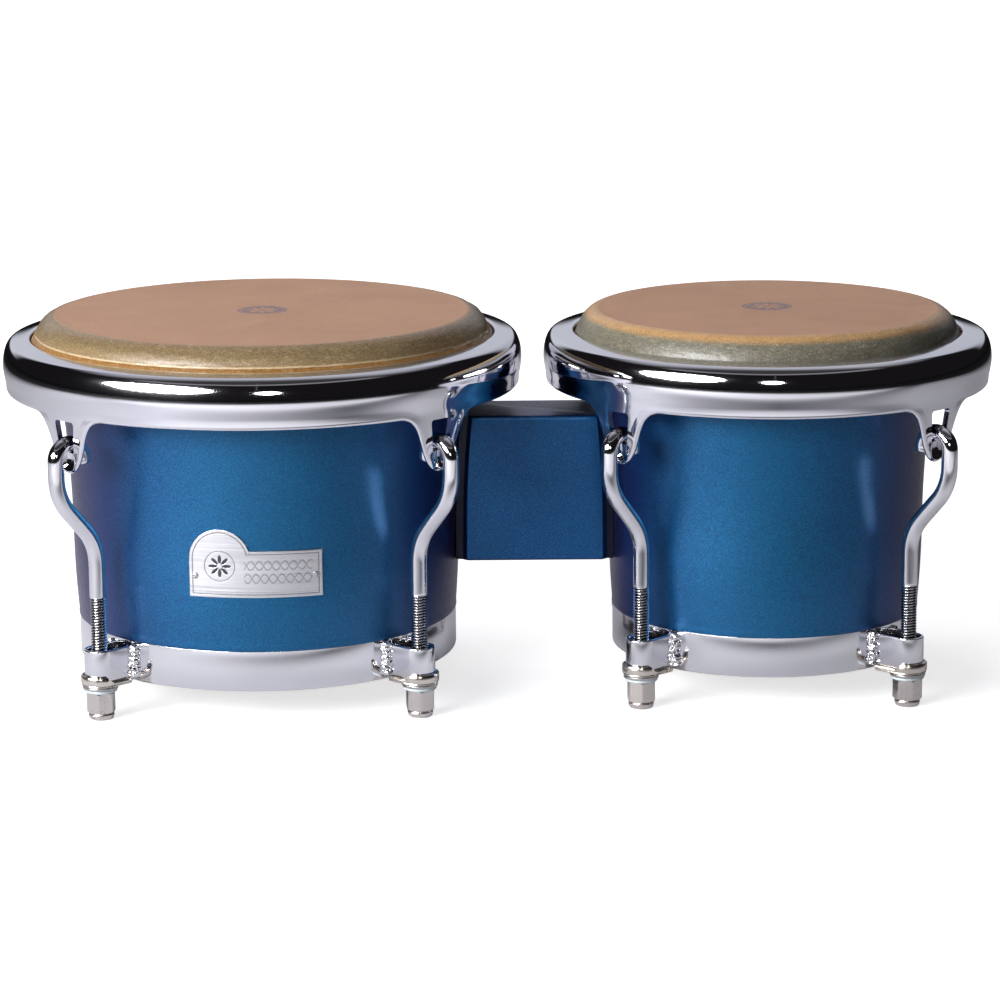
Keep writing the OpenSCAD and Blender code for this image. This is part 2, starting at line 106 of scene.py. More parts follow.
def add_piece(name, points, faces, materials, sharp=35.0, which=None):
    """An object from points in millimetres."""
    mesh = bpy.data.meshes.new(name)
    mesh.from_pydata((np.asarray(points, float) * MM).tolist(), [], [list(map(int, f)) for f in faces])
    for m in materials:
        mesh.materials.append(m)
    if which is not None:
        mesh.polygons.foreach_set("material_index", list(which))
    bm = bmesh.new()
    bm.from_mesh(mesh)
    bmesh.ops.recalc_face_normals(bm, faces=bm.faces)
    bm.to_mesh(mesh)
    bm.free()
    shade(mesh, sharp)
    obj = bpy.data.objects.new(name, mesh)
    scene.collection.objects.link(obj)
    return obj


def finish_piece(obj, body, slot, *nodes):
    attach(obj, body)
    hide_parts(*nodes)


def grid_faces(rows, cols, loop_rows, loop_cols, start=0):
    i = np.arange(rows if loop_rows else rows - 1)
    j = np.arange(cols if loop_cols else cols - 1)
    a, b = np.meshgrid(i, j, indexing="ij")
    a2, b2 = (a + 1) % rows, (b + 1) % cols
    quads = np.stack([a * cols + b, a * cols + b2, a2 * cols + b2, a2 * cols + b], -1)
    return quads.reshape(-1, 4) + start


def capped_faces(rows, cols):
    """A tube's faces with both ends closed."""
    faces = [list(q) for q in grid_faces(rows, cols, False, True)]
    return faces + [list(range(cols)), [rows * cols - 1 - k for k in range(cols)]]


def rounded(points, radii, steps=5):
    """A closed outline with its corners rounded."""
    pts = [np.array(p, float) for p in points]
    if isinstance(radii, (int, float)):
        radii = [radii] * len(pts)
    out = []
    for k, p in enumerate(pts):
        a, b = pts[k - 1] - p, pts[(k + 1) % len(pts)] - p
        la, lb = np.linalg.norm(a), np.linalg.norm(b)
        a, b = a / la, b / lb
        turn = math.acos(max(-1.0, min(1.0, float(a @ b))))
        if radii[k] <= 0 or turn > math.pi - 0.01:
            out.append(p)
            continue
        cut = min(radii[k] / math.tan(turn / 2), 0.48 * la, 0.48 * lb)
        r = cut * math.tan(turn / 2)
        mid = (a + b) / np.linalg.norm(a + b)
        centre = p + mid * r / math.sin(turn / 2)
        s, e = p + a * cut - centre, p + b * cut - centre
        whole = math.acos(max(-1.0, min(1.0, float(s @ e) / r ** 2)))
        for i in range(steps + 1):
            w = i / steps
            out.append(centre + (s * math.sin((1 - w) * whole) + e * math.sin(w * whole)) / math.sin(whole))
    return np.array(out)


def angles(count):
    return np.arange(count) * 2 * math.pi / count


def circle(r, z, phi):
    """A ring of points about the z axis."""
    return np.stack([r * np.cos(phi), r * np.sin(phi), np.full(len(phi), z)], -1)


def lathe_points(outline, cx, cy=0.0, around=192):
    t = angles(around)
    o = np.asarray(outline, float)
    x = cx + o[:, :1] * np.cos(t)
    y = cy + o[:, :1] * np.sin(t)
    z = np.repeat(o[:, 1:2], around, axis=1)
    return np.stack([x, y, z], -1).reshape(-1, 3)


def merged(parts):
    """Joins (points, faces) pairs."""
    points, faces, base = [], [], 0
    for p, f in parts:
        p = np.asarray(p, float)
        points.append(p)
        faces.extend([list(np.asarray(q) + base) for q in f])
        base += len(p)
    return np.vstack(points), faces


def placed(points, drum, angle):
    """Local lug coordinates (x away from the drum's axis, rod at x 0) to the frame."""
    a = math.radians(angle)
    p = np.asarray(points, float)
    x = p[:, 0] + drum.rod
    return np.stack([
        drum.cx + x * math.cos(a) - p[:, 1] * math.sin(a),
        x * math.sin(a) + p[:, 1] * math.cos(a),
        p[:, 2]], -1)


def wobble(p, scale, seed):
    """Smooth repeatable noise at points in millimetres."""
    return np.array([noise.noise(Vector((q[0] * scale + seed, q[1] * scale, q[2] * scale))) for q in p])


def smooth_step(x):
    x = np.clip(x, 0, 1)
    return x * x * (3 - 2 * x)


def add_attribute(obj, name, values):
    layer = obj.data.attributes.new(name, "FLOAT", "POINT")
    layer.data.foreach_set("value", np.asarray(values, np.float32))


# ---- materials ----

class Nodes:
    """A material's or the world's node tree, with short ways to add and join nodes."""

    def __init__(self, name, world=False):
        self.mat = (bpy.data.worlds if world else bpy.data.materials).new(name)
        self.mat.use_nodes = True
        self.tree = self.mat.node_tree
        self.bsdf = self.tree.nodes.get("Principled BSDF")
        self.coords = self.new("TexCoord").outputs["Generated" if world else "Object"]

    def put(self, target, value):
        if isinstance(value, bpy.types.NodeSocket):
            self.tree.links.new(value, target)
        elif isinstance(value, (tuple, list)) and len(value) == 3 and target.type == "RGBA":
            target.default_value = (*value, 1.0)
        else:
            target.default_value = value

    def new(self, kind, **inputs):
        n = self.tree.nodes.new("ShaderNode" + kind)
        for key, value in inputs.items():
            self.put(n.inputs[key.replace("_", " ")], value)
        return n

    def set(self, **values):
        for key, value in values.items():
            self.put(self.bsdf.inputs[key.replace("_", " ")], value)

    def moved(self, location=(0, 0, 0), scale=(1, 1, 1)):
        return self.new("Mapping", Vector=self.coords, Location=location, Scale=scale).outputs["Vector"]

    def noise(self, scale, detail=4.0, rough=0.55, vector=None, distortion=0.0):
        return self.new(
            "TexNoise", Vector=vector or self.coords, Scale=scale, Detail=detail, Roughness=rough,
            Distortion=distortion).outputs["Fac"]

    def cells(self, scale):
        return self.new("TexVoronoi", Vector=self.coords, Scale=scale).outputs["Distance"]

    def math(self, op, a, b=0.0, clamp=False):
        n = self.new("Math")
        n.operation = op
        n.use_clamp = clamp
        self.put(n.inputs[0], a)
        self.put(n.inputs[1], b)
        return n.outputs[0]

    def spread(self, value, a0, a1, b0, b1, smooth=False):
        """The value's range a0 to a1 mapped to b0 to b1."""
        n = self.new("MapRange", Value=value, From_Min=a0, From_Max=a1, To_Min=b0, To_Max=b1)
        n.interpolation_type = "SMOOTHSTEP" if smooth else "LINEAR"
        return n.outputs["Result"]

    def ramp(self, value, *stops):
        n = self.new("ValToRGB", Fac=value)
        marks = n.color_ramp.elements
        while len(marks) < len(stops):
            marks.new(0.5)
        for mark, (place, colour) in zip(marks, stops):
            mark.position = place
            mark.color = (*colour, 1.0)
        return n.outputs["Color"]

    def mix(self, factor, a, b, blend="MIX"):
        n = self.new("Mix")
        n.data_type = "RGBA"
        n.blend_type = blend
        for index, value in ((0, factor), (6, a), (7, b)):
            self.put(n.inputs[index], value)
        return n.outputs[2]

    def facing(self, blend):
        return self.new("LayerWeight", Blend=blend).outputs["Facing"]

    def seen(self):
        """1 for what the camera sees directly, 0 in reflections and as light."""
        return self.new("LightPath").outputs["Is Camera Ray"]

    def attribute(self, name):
        n = self.new("Attribute")
        n.attribute_name = name
        return n.outputs["Fac"]

    def xyz(self, vector=None):
        return self.new("SeparateXYZ", Vector=vector or self.coords).outputs

    def bump(self, height, distance, strength=1.0, below=None):
        n = self.new("Bump", Strength=strength, Distance=distance, Height=height)
        if below is not None:
            self.put(n.inputs["Normal"], below)
        self.put(self.bsdf.inputs["Normal"], n.outputs[0])
        return n.outputs[0]


def metal(name, colour, rough, wave=0.00002, scratch=0.05, tint=None, groove=False):
    """Plated or bare metal with faint smears; `groove` paints shade into the foot of the rods' thread."""
    n = Nodes(name)
    smear = n.noise(9.0, 3.0, 0.6, n.moved(scale=(1, 1, 2.5)))
    fine = n.noise(700.0, 2.0, 0.7)
    base = n.mix(n.spread(smear, 0.35, 0.7, 0.0, 1.0), colour, tint or tuple(c * 0.9 for c in colour))
    # Painted shade: the thread's roots are darkened to near black
    if groove:
        base = n.mix(n.attribute("groove"), base, (0.10, 0.095, 0.09))
    hazy = n.spread(smear, 0.45, 0.75, rough, rough + scratch)
    hazy = n.math("ADD", hazy, n.spread(fine, 0.3, 0.8, 0.0, scratch * 0.4))
    n.set(Base_Color=base, Metallic=1.0, Roughness=hazy)
    n.bump(n.noise(38.0, 2.0, 0.4), wave)
    return n.mat


def paint(name, tone=(1.0, 1.0, 1.0), shade_coves=False):
    """Satin flake lacquer: teal facing the viewer, navy to violet at the edges, with painted shade in the
    block's coves.
    """
    n = Nodes(name)
    speck = n.spread(n.cells(2000.0), 0.0, 0.55, 1.0, 0.0)
    cloud = n.noise(14.0, 3.0, 0.6)
    shades = (
        (0.0, (0.006, 0.15, 0.31)),
        (0.22, (0.008, 0.12, 0.29)),
        (0.45, (0.016, 0.05, 0.19)),
        (0.7, (0.03, 0.028, 0.12)),
        (1.0, (0.05, 0.035, 0.11)))
    stops = [(place, tuple(c * t for c, t in zip(shade, tone))) for place, shade in shades]
    hue = n.ramp(n.facing(0.5), *stops)
    # Flake grain: specks darker and lighter than the paint; the brightest, up to 1.6 times its colour, are
    # painted glints
    painted_glints = n.ramp(speck, (0.1, (0.4, 0.46, 0.52)), (0.95, (1.62, 1.52, 1.42)))
    flake_grain_and_glints = n.mix(1.0, hue, painted_glints, "MULTIPLY")
    body = n.mix(n.spread(cloud, 0.35, 0.7, 0.0, 0.18), flake_grain_and_glints, hue)
    if shade_coves:
        # Painted shade: the block's coves, below its top, are darkened to near-black navy
        _, y, z = n.xyz()
        cove_shade_mask = n.spread(n.math("ABSOLUTE", y), 0.0196, 0.0208, 1.0, 0.0)
        below_top = n.spread(z, 0.1374, 0.1384, 1.0, 0.0)
        body = n.mix(n.math("MULTIPLY", cove_shade_mask, below_top), body, (0.003, 0.006, 0.022))
    n.set(
        Base_Color=body,
        Metallic=0.72,
        Roughness=n.spread(n.noise(420.0, 2.0, 0.5), 0.3, 0.7, 0.34, 0.44),
        Coat_Weight=0.35,
        Coat_Roughness=0.3)
    peel = n.bump(n.noise(900.0, 2.0, 0.5), 0.00001, 0.8)
    n.bump(n.spread(n.cells(2300.0), 0.0, 0.6, 1.0, 0.0), 0.00001, 0.35, peel)
    return n.mat


def bare_wood(name, drum):
    """Natural wood in glued staves, on the inside of a shell."""
    n = Nodes(name)
    local = n.moved(location=(-drum.cx * MM, 0, 0))
    x, y, _ = n.xyz(local)
    staves = 16
    turn = n.math("MULTIPLY", n.math("ARCTAN2", y, x), staves / (2 * math.pi))
    stave = n.math("FLOOR", turn)
    seam = n.math("ABSOLUTE", n.math("SUBTRACT", n.math("SUBTRACT", turn, stave), 0.5))
    pick = n.new("TexWhiteNoise")
    pick.noise_dimensions = "1D"
    n.put(pick.inputs["W"], stave)
    grain = n.noise(120.0, 6.0, 0.65, n.moved(location=(-drum.cx * MM, 0, 0), scale=(1, 1, 0.09)), 0.6)
    base = n.ramp(grain, (0.3, (0.36, 0.21, 0.10)), (0.52, (0.52, 0.33, 0.17)), (0.75, (0.62, 0.42, 0.24)))
    toned = n.mix(n.spread(pick.outputs["Value"], 0.0, 1.0, 0.0, 0.45), base, (0.34, 0.19, 0.09))
    dark = n.spread(seam, 0.485, 0.497, 0.0, 1.0)
    n.set(Base_Color=n.mix(dark, toned, (0.10, 0.05, 0.02)), Roughness=n.spread(grain, 0.3, 0.7, 0.5, 0.7))
    n.bump(n.math("SUBTRACT", grain, dark), 0.0002, 0.6)
    return n.mat


def rawhide(name, under):
    """Scraped rawhide: matte tan in the middle, a glossy shoulder, golden below the crease.

    `under` has three shoulder colours and the zone where the second one starts.
    """
    n = Nodes(name)
    zone = n.attribute("zone")
    stamp = n.attribute("stamp")
    pores = n.noise(900.0, 5.0, 0.7)
    blotch = n.noise(24.0, 4.0, 0.6, None, 0.8)
    fibre = n.noise(330.0, 5.0, 0.7, n.moved(scale=(1, 1, 3.0)), 1.2)
    flat = n.ramp(
        blotch,
        (0.3, (0.37, 0.214, 0.138)),
        (0.55, (0.405, 0.240, 0.156)),
        (0.8, (0.432, 0.262, 0.172)))
    flat = n.mix(n.spread(pores, 0.35, 0.75, 0.0, 0.5), flat, (0.30, 0.165, 0.105))
    ink = n.math("MULTIPLY", stamp, n.spread(n.noise(620.0, 4.0, 0.8), 0.36, 0.6, 0.2, 0.85), True)
    flat = n.mix(ink, flat, (0.075, 0.09, 0.15))
    rim = n.ramp(
        zone,
        (0.0, (0.40, 0.24, 0.16)),
        (0.12, under[0]),
        (under[3], under[0]),
        (0.35, under[1]),
        (0.585, under[2]),
        (0.64, (0.58, 0.45, 0.28)),
        (0.68, (0.20, 0.085, 0.014)),
        (0.8, (0.26, 0.115, 0.018)),
        (1.0, (0.15, 0.058, 0.008)))
    rim = n.mix(n.spread(fibre, 0.52, 0.8, 0.0, 0.6), rim, (0.55, 0.44, 0.26))
    rim = n.mix(n.spread(fibre, 0.48, 0.25, 0.0, 0.7), rim, (0.08, 0.045, 0.015))
    speck = n.noise(1500.0, 3.0, 0.8)
    rim = n.mix(n.spread(speck, 0.5, 0.72, 0.0, 0.55), rim, (0.46, 0.36, 0.20))
    rim = n.mix(n.spread(speck, 0.5, 0.3, 0.0, 0.5), rim, (0.05, 0.03, 0.01))
    ragged = n.math("ADD", zone, n.spread(blotch, 0.3, 0.7, -0.03, 0.03))
    edge = n.spread(ragged, 0.02, 0.13, 0.0, 1.0, True)
    n.set(
        Base_Color=n.mix(edge, flat, rim),
        Roughness=n.spread(edge, 0.0, 1.0, 0.72, 0.34),
        Subsurface_Weight=0.12,
        Subsurface_Radius=(0.004, 0.002, 0.001),
        Subsurface_Scale=0.5,
        Coat_Weight=n.spread(edge, 0.0, 1.0, 0.0, 0.3),
        Coat_Roughness=0.25)
    relief = n.math("ADD", n.math("MULTIPLY", blotch, 1.5), n.math("MULTIPLY", pores, 0.5))
    n.bump(fibre, 0.0004, 0.55, n.bump(relief, 0.00022, 0.5))
    return n.mat


def nylon(name):
    """Pale blue translucent plastic."""
    n = Nodes(name)
    mark = n.noise(300.0, 3.0)
    n.set(
        Base_Color=n.ramp(mark, (0.3, (0.60, 0.70, 0.74)), (0.7, (0.74, 0.82, 0.85))),
        Roughness=n.spread(mark, 0.3, 0.7, 0.25, 0.4),
        Transmission_Weight=0.25,
        Subsurface_Weight=0.3,
        Subsurface_Radius=(0.002, 0.002, 0.003))
    n.bump(mark, 0.00004, 0.5)
    return n.mat


def engraved_plate(name):
    """Brushed steel with dark filled lines where the mesh's `cut` attribute is 1."""
    n = Nodes(name)
    lines = n.noise(260.0, 3.0, 0.6, n.moved(scale=(0.05, 0.05, 5.0)))
    cut = n.attribute("cut")
    tone = n.ramp(lines, (0.3, (0.78, 0.78, 0.81)), (0.7, (0.93, 0.93, 0.96)))
    n.set(
        Base_Color=n.mix(cut, tone, (0.05, 0.05, 0.065)),
        Metallic=n.spread(cut, 0.0, 1.0, 1.0, 0.4),
        Roughness=n.spread(lines, 0.3, 0.7, 0.26, 0.42))
    n.bump(n.math("SUBTRACT", n.math("MULTIPLY", lines, 0.1), cut), 0.00012, 0.6)
    return n.mat


CHROME = (0.86, 0.86, 0.90)
rim_chrome = metal("RimChrome", CHROME, 0.045, 0.00003, 0.05, (0.80, 0.80, 0.86))
hook_chrome = metal("HookChrome", CHROME, 0.05, 0.00002, 0.05, None, True)
ring_chrome = metal("RingChrome", CHROME, 0.07, 0.00003, 0.06)
bracket_chrome = metal("BracketChrome", (0.84, 0.84, 0.88), 0.07, 0.00006, 0.06)
weld_chrome = metal("WeldChrome", (0.84, 0.84, 0.86), 0.10, 0.0004, 0.08)
nickel = metal("Nickel", (0.76, 0.71, 0.68), 0.22, 0.00005, 0.14, (0.66, 0.60, 0.56))
saddle_nickel = metal("SaddleNickel", (0.82, 0.77, 0.71), 0.16, 0.00006, 0.14, (0.74, 0.66, 0.58))
dark_steel = metal("WasherSteel", (0.55, 0.54, 0.54), 0.24, 0.00003, 0.12)
bolt_steel = metal("BoltSteel", (0.64, 0.65, 0.68), 0.28, 0.00005, 0.14)
shell_paint = paint("DrumPaint", (1.0, 1.18, 1.26))
# The block's paint carries painted shade in its coves
block_paint = paint("BlockPaint", (0.3, 0.84, 1.12), True)
plate_metal = engraved_plate("BadgeMetal")
nylon_blue = nylon("NylonBlue")
BROWN_SHOULDER = ((0.15, 0.09, 0.035), (0.13, 0.09, 0.04), (0.22, 0.15, 0.075), 0.15)
OLIVE_SHOULDER = ((0.40, 0.22, 0.08), (0.115, 0.12, 0.098), (0.105, 0.108, 0.09), 0.25)
hides = {
    "large": rawhide("RawhideLarge", BROWN_SHOULDER),
    "small": rawhide("RawhideSmall", OLIVE_SHOULDER)}


# ---- shells ----

def make_shell(d):
    """A painted, flared shell with bare wood on its bearing edge, inside and in the ring's rabbet."""
    foot = d.ring - 2.05
    low_r = d.side(PLATE_Z)
    zs = np.linspace(RING_TOP, BEARING_Z - EDGE_ROUND, 60)
    outer = [
        (d.ring - 0.6, RING_TOP + 0.1),
        (d.ring + 0.25, RING_TOP + 0.14),
        (d.ring + 0.38, RING_TOP + 0.45)]
    outer += [(d.side(z), z) for z in zs if z > RING_TOP + 0.7]
    edge_r, edge_z = d.top - EDGE_ROUND, BEARING_Z - EDGE_ROUND
    edge = [(edge_r + EDGE_ROUND * math.cos(a), edge_z + EDGE_ROUND * math.sin(a))
            for a in np.radians(np.linspace(10, 90, 8))]
    inside = [(d.side(z) - WALL, z) for z in np.linspace(BEARING_Z - 1.5, PLATE_Z + 2, 50)]
    base = [(low_r - WALL + 0.8, PLATE_Z + 0.4), (low_r - WALL + 2, PLATE_Z), (foot, PLATE_Z)]
    outline = outer + edge + [(d.top - 8.6, BEARING_Z)] + inside + base + [(foot, RING_TOP - 0.1)]
    around = 256
    which = np.repeat([0 if i < len(outer) else 1 for i in range(len(outline))], around)
    obj = add_piece(
        d.name + "_shell_body", lathe_points(outline, d.cx, 0, around),
        grid_faces(len(outline), around, True, True),
        [shell_paint, bare_wood("StaveWood_" + d.name, d)], 30, which)
    finish_piece(obj, "root", "shell_paint", d.name + "_shell")


# ---- heads ----

def make_head(d):
    """One continuous skin: playing surface, shoulder, crease, band and the fold round the hoop."""
    # Rows of (radius, height, zone); the zone runs from 0 in the middle to 1 at the hoop
    cx = d.top - EDGE_ROUND
    radii = list(np.linspace(0, 15, 31)) + list(np.linspace(17, cx - 4, 34))
    rows = [(r, HEAD_Z, 0.0) for r in radii]
    wide = (d.crease[0] - cx) / math.sin(DOME_TURN)
    deep = (HEAD_Z - d.crease[1]) / (1 - math.cos(DOME_TURN))
    rows += [(cx + wide * math.sin(a), HEAD_Z - deep * (1 - math.cos(a)), 0.03 + 0.55 * a / DOME_TURN)
             for a in np.linspace(-0.1, DOME_TURN, 30)]
    rows = [(r, min(z, HEAD_Z), max(w, 0.0)) for r, z, w in rows]
    lip = rows[-1]
    gold = d.opening - 0.55
    foot = d.opening - 0.25
    rows += [
        (lip[0] + 0.35, lip[1] - 0.45, 0.62),
        (lip[0] + 0.30, lip[1] - 0.95, 0.65),
        (lip[0] + 0.9, lip[1] - 1.5, 0.70)]
    r0, z0 = lip[0] + 0.9, lip[1] - 1.5
    for a in np.linspace(0.25, 1.0, 6):
        s = math.sin(a * math.pi / 2)
        rows.append((r0 + (foot - r0) * s, z0 - (z0 - 176.5) * a, 0.72 + 0.15 * a))
    rows += [(foot - 0.1, 176.15, 0.88), (gold, 175.7, 0.9), (gold, 173.2, 0.92)]
    rows += [(d.opening + HOOP_OUT + WRAP_R * math.cos(a), HOOP_Z + WRAP_R * math.sin(a), 1.0)
             for a in np.radians(np.linspace(120, -120, 10))]
    rows += [(gold - 2.6, 168.0, 1.0), (gold - 2.7, 174.6, 1.0), (r0 - 2.2, z0 - 0.8, 0.9)]
    under_z = HEAD_Z - SKIN_T
    rows += [(cx + (wide - SKIN_T) * math.sin(a), under_z - (deep - SKIN_T) * (1 - math.cos(a)), 0.4)
             for a in np.linspace(1.1, 0.0, 8)]
    rows += [(r, under_z, 0.05) for r in np.linspace(cx - 6, 0, 12)]
    rows = np.array(rows)
    around = 288
    p = lathe_points(rows[:, :2], d.cx, 0, around).reshape(len(rows), around, 3)
    zone = np.repeat(rows[:, 2], around)
    flat = p.reshape(-1, 3)
    centre = np.array([d.cx, 0, 0])
    away = flat - centre
    radius = np.hypot(away[:, 0], away[:, 1])
    ripple = wobble(flat, 0.08, 3.0) * 0.3 + wobble(flat, 0.4, 9.0) * 0.2
    rough = wobble(flat * np.array([1, 1, 2.0]), 0.9, 5.0)
    weight = smooth_step((zone - 0.03) / 0.2) * (flat[:, 2] > MOULDED_Z)
    crease = np.exp(-((zone - 0.64) / 0.05) ** 2) * (flat[:, 2] > MOULDED_Z)
    out = weight * ripple + crease * rough * 0.7
    unit = away[:, :2] / np.maximum(radius, 1e-6)[:, None]
    flat = flat.copy()
    flat[:, :2] += unit * np.where(radius > 1, out, 0)[:, None]
    flat[:, 2] += crease * rough * 0.5 + weight * ripple * 0.25
    obj = add_piece(
        d.name + "_head", flat, grid_faces(len(rows), around, False, True), [hides[d.name]], 60)
    add_attribute(obj, "zone", zone)
    add_attribute(obj, "stamp", stamp_shape(away[:, 0], away[:, 1]) * (flat[:, 2] > HEAD_Z - 1))
    bm = bmesh.new()
    bm.from_mesh(obj.data)
    bmesh.ops.remove_doubles(bm, verts=bm.verts, dist=1e-6)
    bm.to_mesh(obj.data)
    bm.free()
    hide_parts(d.name + "_head_skin", d.name + "_skin_skirt")
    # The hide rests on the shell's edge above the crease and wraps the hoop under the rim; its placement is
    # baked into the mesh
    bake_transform(obj)


def stamp_shape(x, y):
    """A plain printed disc with a ring and eight petals left out of the ink."""
    r = np.hypot(x, y)
    turn = np.arctan2(y, x)
    disc = np.clip((12.8 - r) / 0.5, 0, 1)
    line = np.clip(1 - np.abs(r - 10.9) / 0.45, 0, 1)
    petal = 2.6 + 6.0 * np.abs(np.cos(4 * turn))
    inner = np.clip((petal - r) / 0.7, 0, 1) * np.clip((r - 1.6) / 0.6, 0, 1)
    return disc * (1 - np.maximum(line, inner))


# ---- rims ----

def bezier(p0, p1, p2, p3, count):
    t = np.linspace(0, 1, count)[:, None]
    p0, p1, p2, p3 = (np.array(p, float) for p in (p0, p1, p2, p3))
    return (1 - t) ** 3 * p0 + 3 * (1 - t) ** 2 * t * p1 + 3 * (1 - t) * t ** 2 * p2 + t ** 3 * p3


def rim_side(z):
    """How far the rim's outer face has drawn in at a height."""
    return 1.6 * smooth_step((CROWN_FOOT - z) / 12.7) + 2.0 * smooth_step((157 - z) / 32)


def make_rim(d):
    """A pressed rim: four equal quarters unrolled as (across, height), each with an ear in its middle."""
    span = d.rim * math.pi / 4
    band_steps = 34
    left = np.stack([np.linspace(-span, -ARCH_HALF, band_steps), np.full(band_steps, BAND_FOOT)], -1)
    turn_point = (-EAR_HALF, EAR_TURN_Z)
    arch = bezier((-ARCH_HALF, BAND_FOOT), (-17.5, BAND_FOOT), (-14.6, 146.8), turn_point, 30)
    ear = bezier(turn_point, (-9.2, 132.0), (-6.2, EAR_FOOT), (0, EAR_FOOT), 26)
    half = np.vstack([left, arch[1:], ear[1:]])
    outline = np.vstack([half, (half[:-1] * [-1, 1])[::-1]])[:-1]
    nxt, prv = np.roll(outline, -1, 0), np.roll(outline, 1, 0)
    nxt[-1] = (span, BAND_FOOT)
    prv[0] = (-span - 1, BAND_FOOT)
    tangent = nxt - prv
    tangent /= np.linalg.norm(tangent, axis=1)[:, None]
    normal = np.stack([-tangent[:, 1], tangent[:, 0]], -1)
    length = np.concatenate([[0], np.cumsum(np.linalg.norm(np.diff(outline, axis=0), axis=1))])
    s0, s1 = length[band_steps - 1], length[-band_steps]
    across = np.interp(length, [0, s0, s1, length[-1]], [-span, -ARCH_HALF, ARCH_HALF, outline[-1, 0]])
    top = np.stack([across, np.full(len(across), CROWN_FOOT)], -1)
    gaps = [0, 0.06, 0.22, 0.5, 0.9, 1.4, 2.0, 2.8, 4.2]
    last = outline + normal * gaps[-1]

    def sheet(inner):
        """Rows of (across, z, radial shift) from the crown's foot to the edge."""
        rows = []
        for t in np.linspace(0, 1, 13)[:-1]:
            rows.append((top * (1 - t) + last * t, np.full(len(top), gaps[-1] + (1 - t) * 20)))
        for g in gaps[::-1]:
            rows.append((outline + normal * g, np.full(len(top), g)))
        made = []
        for q, g in rows:
            flare = 0.28 * np.exp(-((g / 3.2) ** 2))
            dish = 2.1 * np.clip(1 - (q[:, 0] / 5.2) ** 2, 0, 1) ** 1.3
            dish *= smooth_step((q[:, 1] - 125.8) / 5.0) * smooth_step((150 - q[:, 1]) / 8)
            thick = RIM_T if inner else 0.0
            back = RIM_T / 2 - np.sqrt(np.maximum(RIM_T ** 2 / 4 - np.maximum(RIM_T / 2 - g, 0) ** 2, 0))
            shift = flare - dish - rim_side(q[:, 1]) - thick + (back if inner else -back)
            made.append(np.stack([q[:, 0], q[:, 1], d.rim + shift], -1))
        return made

    count = len(outline)
    crown = [(d.opening + 0.5, LIP_Z - 3.2), (d.opening, LIP_Z - 2.2), (d.opening, LIP_Z - 0.9),
             (d.opening + 0.1, LIP_Z - 0.4), (d.opening + 0.4, LIP_Z - 0.1), (d.opening + 0.9, LIP_Z)]
    shoulder = d.rim - CROWN_W
    run = shoulder - d.opening - 0.9
    for t in (0.15, 0.35, 0.55, 0.75, 0.95):
        crown.append((d.opening + 0.9 + run * t, LIP_Z - (LIP_Z - BEND_Z) * t ** 1.25))
    crown += [(shoulder + CROWN_W * math.sin(a), CROWN_FOOT + (BEND_Z - CROWN_FOOT) * math.cos(a) - 0.02)
              for a in np.radians(np.linspace(5, 86, 24))]
    under = [(d.rim - 3.1, CROWN_FOOT + 1), (d.rim - 4.4, 169.6), (d.rim - 7.2, RIM_Z - 3.4)]
    under += [(d.opening + 4, RIM_Z - 3.3), (d.opening + 1.8, RIM_Z - 3.1)]
    rows = [np.stack([top[:, 0], np.full(count, z), np.full(count, r)], -1) for r, z in crown]
    rows += sheet(False)
    rows += sheet(True)[::-1][1:]
    rows += [np.stack([top[:, 0], np.full(count, z), np.full(count, r)], -1) for r, z in under]
    stack = np.array(rows)
    quarters = []
    for lug in sorted(LUGS.values()):
        a = math.radians(lug) + stack[:, :, 0] / d.rim
        r = stack[:, :, 2]
        quarters.append(np.stack([d.cx + r * np.cos(a), r * np.sin(a), stack[:, :, 1]], -1))
    p = np.concatenate(quarters, axis=1)
    obj = add_piece(
        d.name + "_rim_body", p.reshape(-1, 3), grid_faces(p.shape[0], p.shape[1], True, True),
        [rim_chrome], 40)
    cut = slot_cutter(d)
    m = obj.modifiers.new("slots", "BOOLEAN")
    m.operation = "DIFFERENCE"
    m.solver = "EXACT"
    m.object = cut
    bake_modifiers(obj)
    bpy.data.objects.remove(cut)
    shade(obj.data, 40)
    finish_piece(obj, d.name + "_tuning_rim", "rim_chrome", d.name + "_rim")


def bake_modifiers(obj):
    """Replaces an object's mesh with its evaluated one."""
    bpy.context.view_layer.update()
    solid = bpy.data.meshes.new_from_object(obj.evaluated_get(bpy.context.evaluated_depsgraph_get()))
    old = obj.data
    obj.modifiers.clear()
    obj.data = solid
    bpy.data.meshes.remove(old)


def slot_cutter(d):
    """The four tapered slots of a rim's ears."""
    corners = [(-5, SLOT_FOOT), (5, SLOT_FOOT), (7, SLOT_TOP), (-7, SLOT_TOP)]
    shape = rounded(corners, [1.4, 1.4, 1.6, 1.6], 5)
    n = len(shape)
    parts = []
    for lug in LUGS.values():
        a = math.radians(lug)
        points = []
        for r in (d.rim - 22, d.rim + 6):
            points += [(d.cx + r * math.cos(a) - u * math.sin(a), r * math.sin(a) + u * math.cos(a), z)
                       for u, z in shape]
        parts.append((points, capped_faces(2, n)))
    p, f = merged(parts)
    return add_piece(d.name + "_slot_cutter", p, f, [rim_chrome])


# ---- hook rods ----

# The rod sways outward by SWAY_W through two bends of SWAY_R, then hooks over with HOOK_R
SWAY_W, SWAY_R, SWAY_A, HOOK_R, HOOK_Z = 23.0, 26.0, math.radians(42), 8.0, 131.7
SWAY_Z = HOOK_Z - 8
SWAY_RUN = (SWAY_W - 2 * SWAY_R * (1 - math.cos(SWAY_A))) / math.sin(SWAY_A)
SWAY_LOW = SWAY_Z - 2 * SWAY_R * math.sin(SWAY_A) - SWAY_RUN * math.cos(SWAY_A)
THREAD_TOP = 62.0


def arc(x, z, radius, start, end, count):
    """Points of an arc about (x, z)."""
    return [(x + radius * math.cos(t), z + radius * math.sin(t)) for t in np.linspace(start, end, count)]


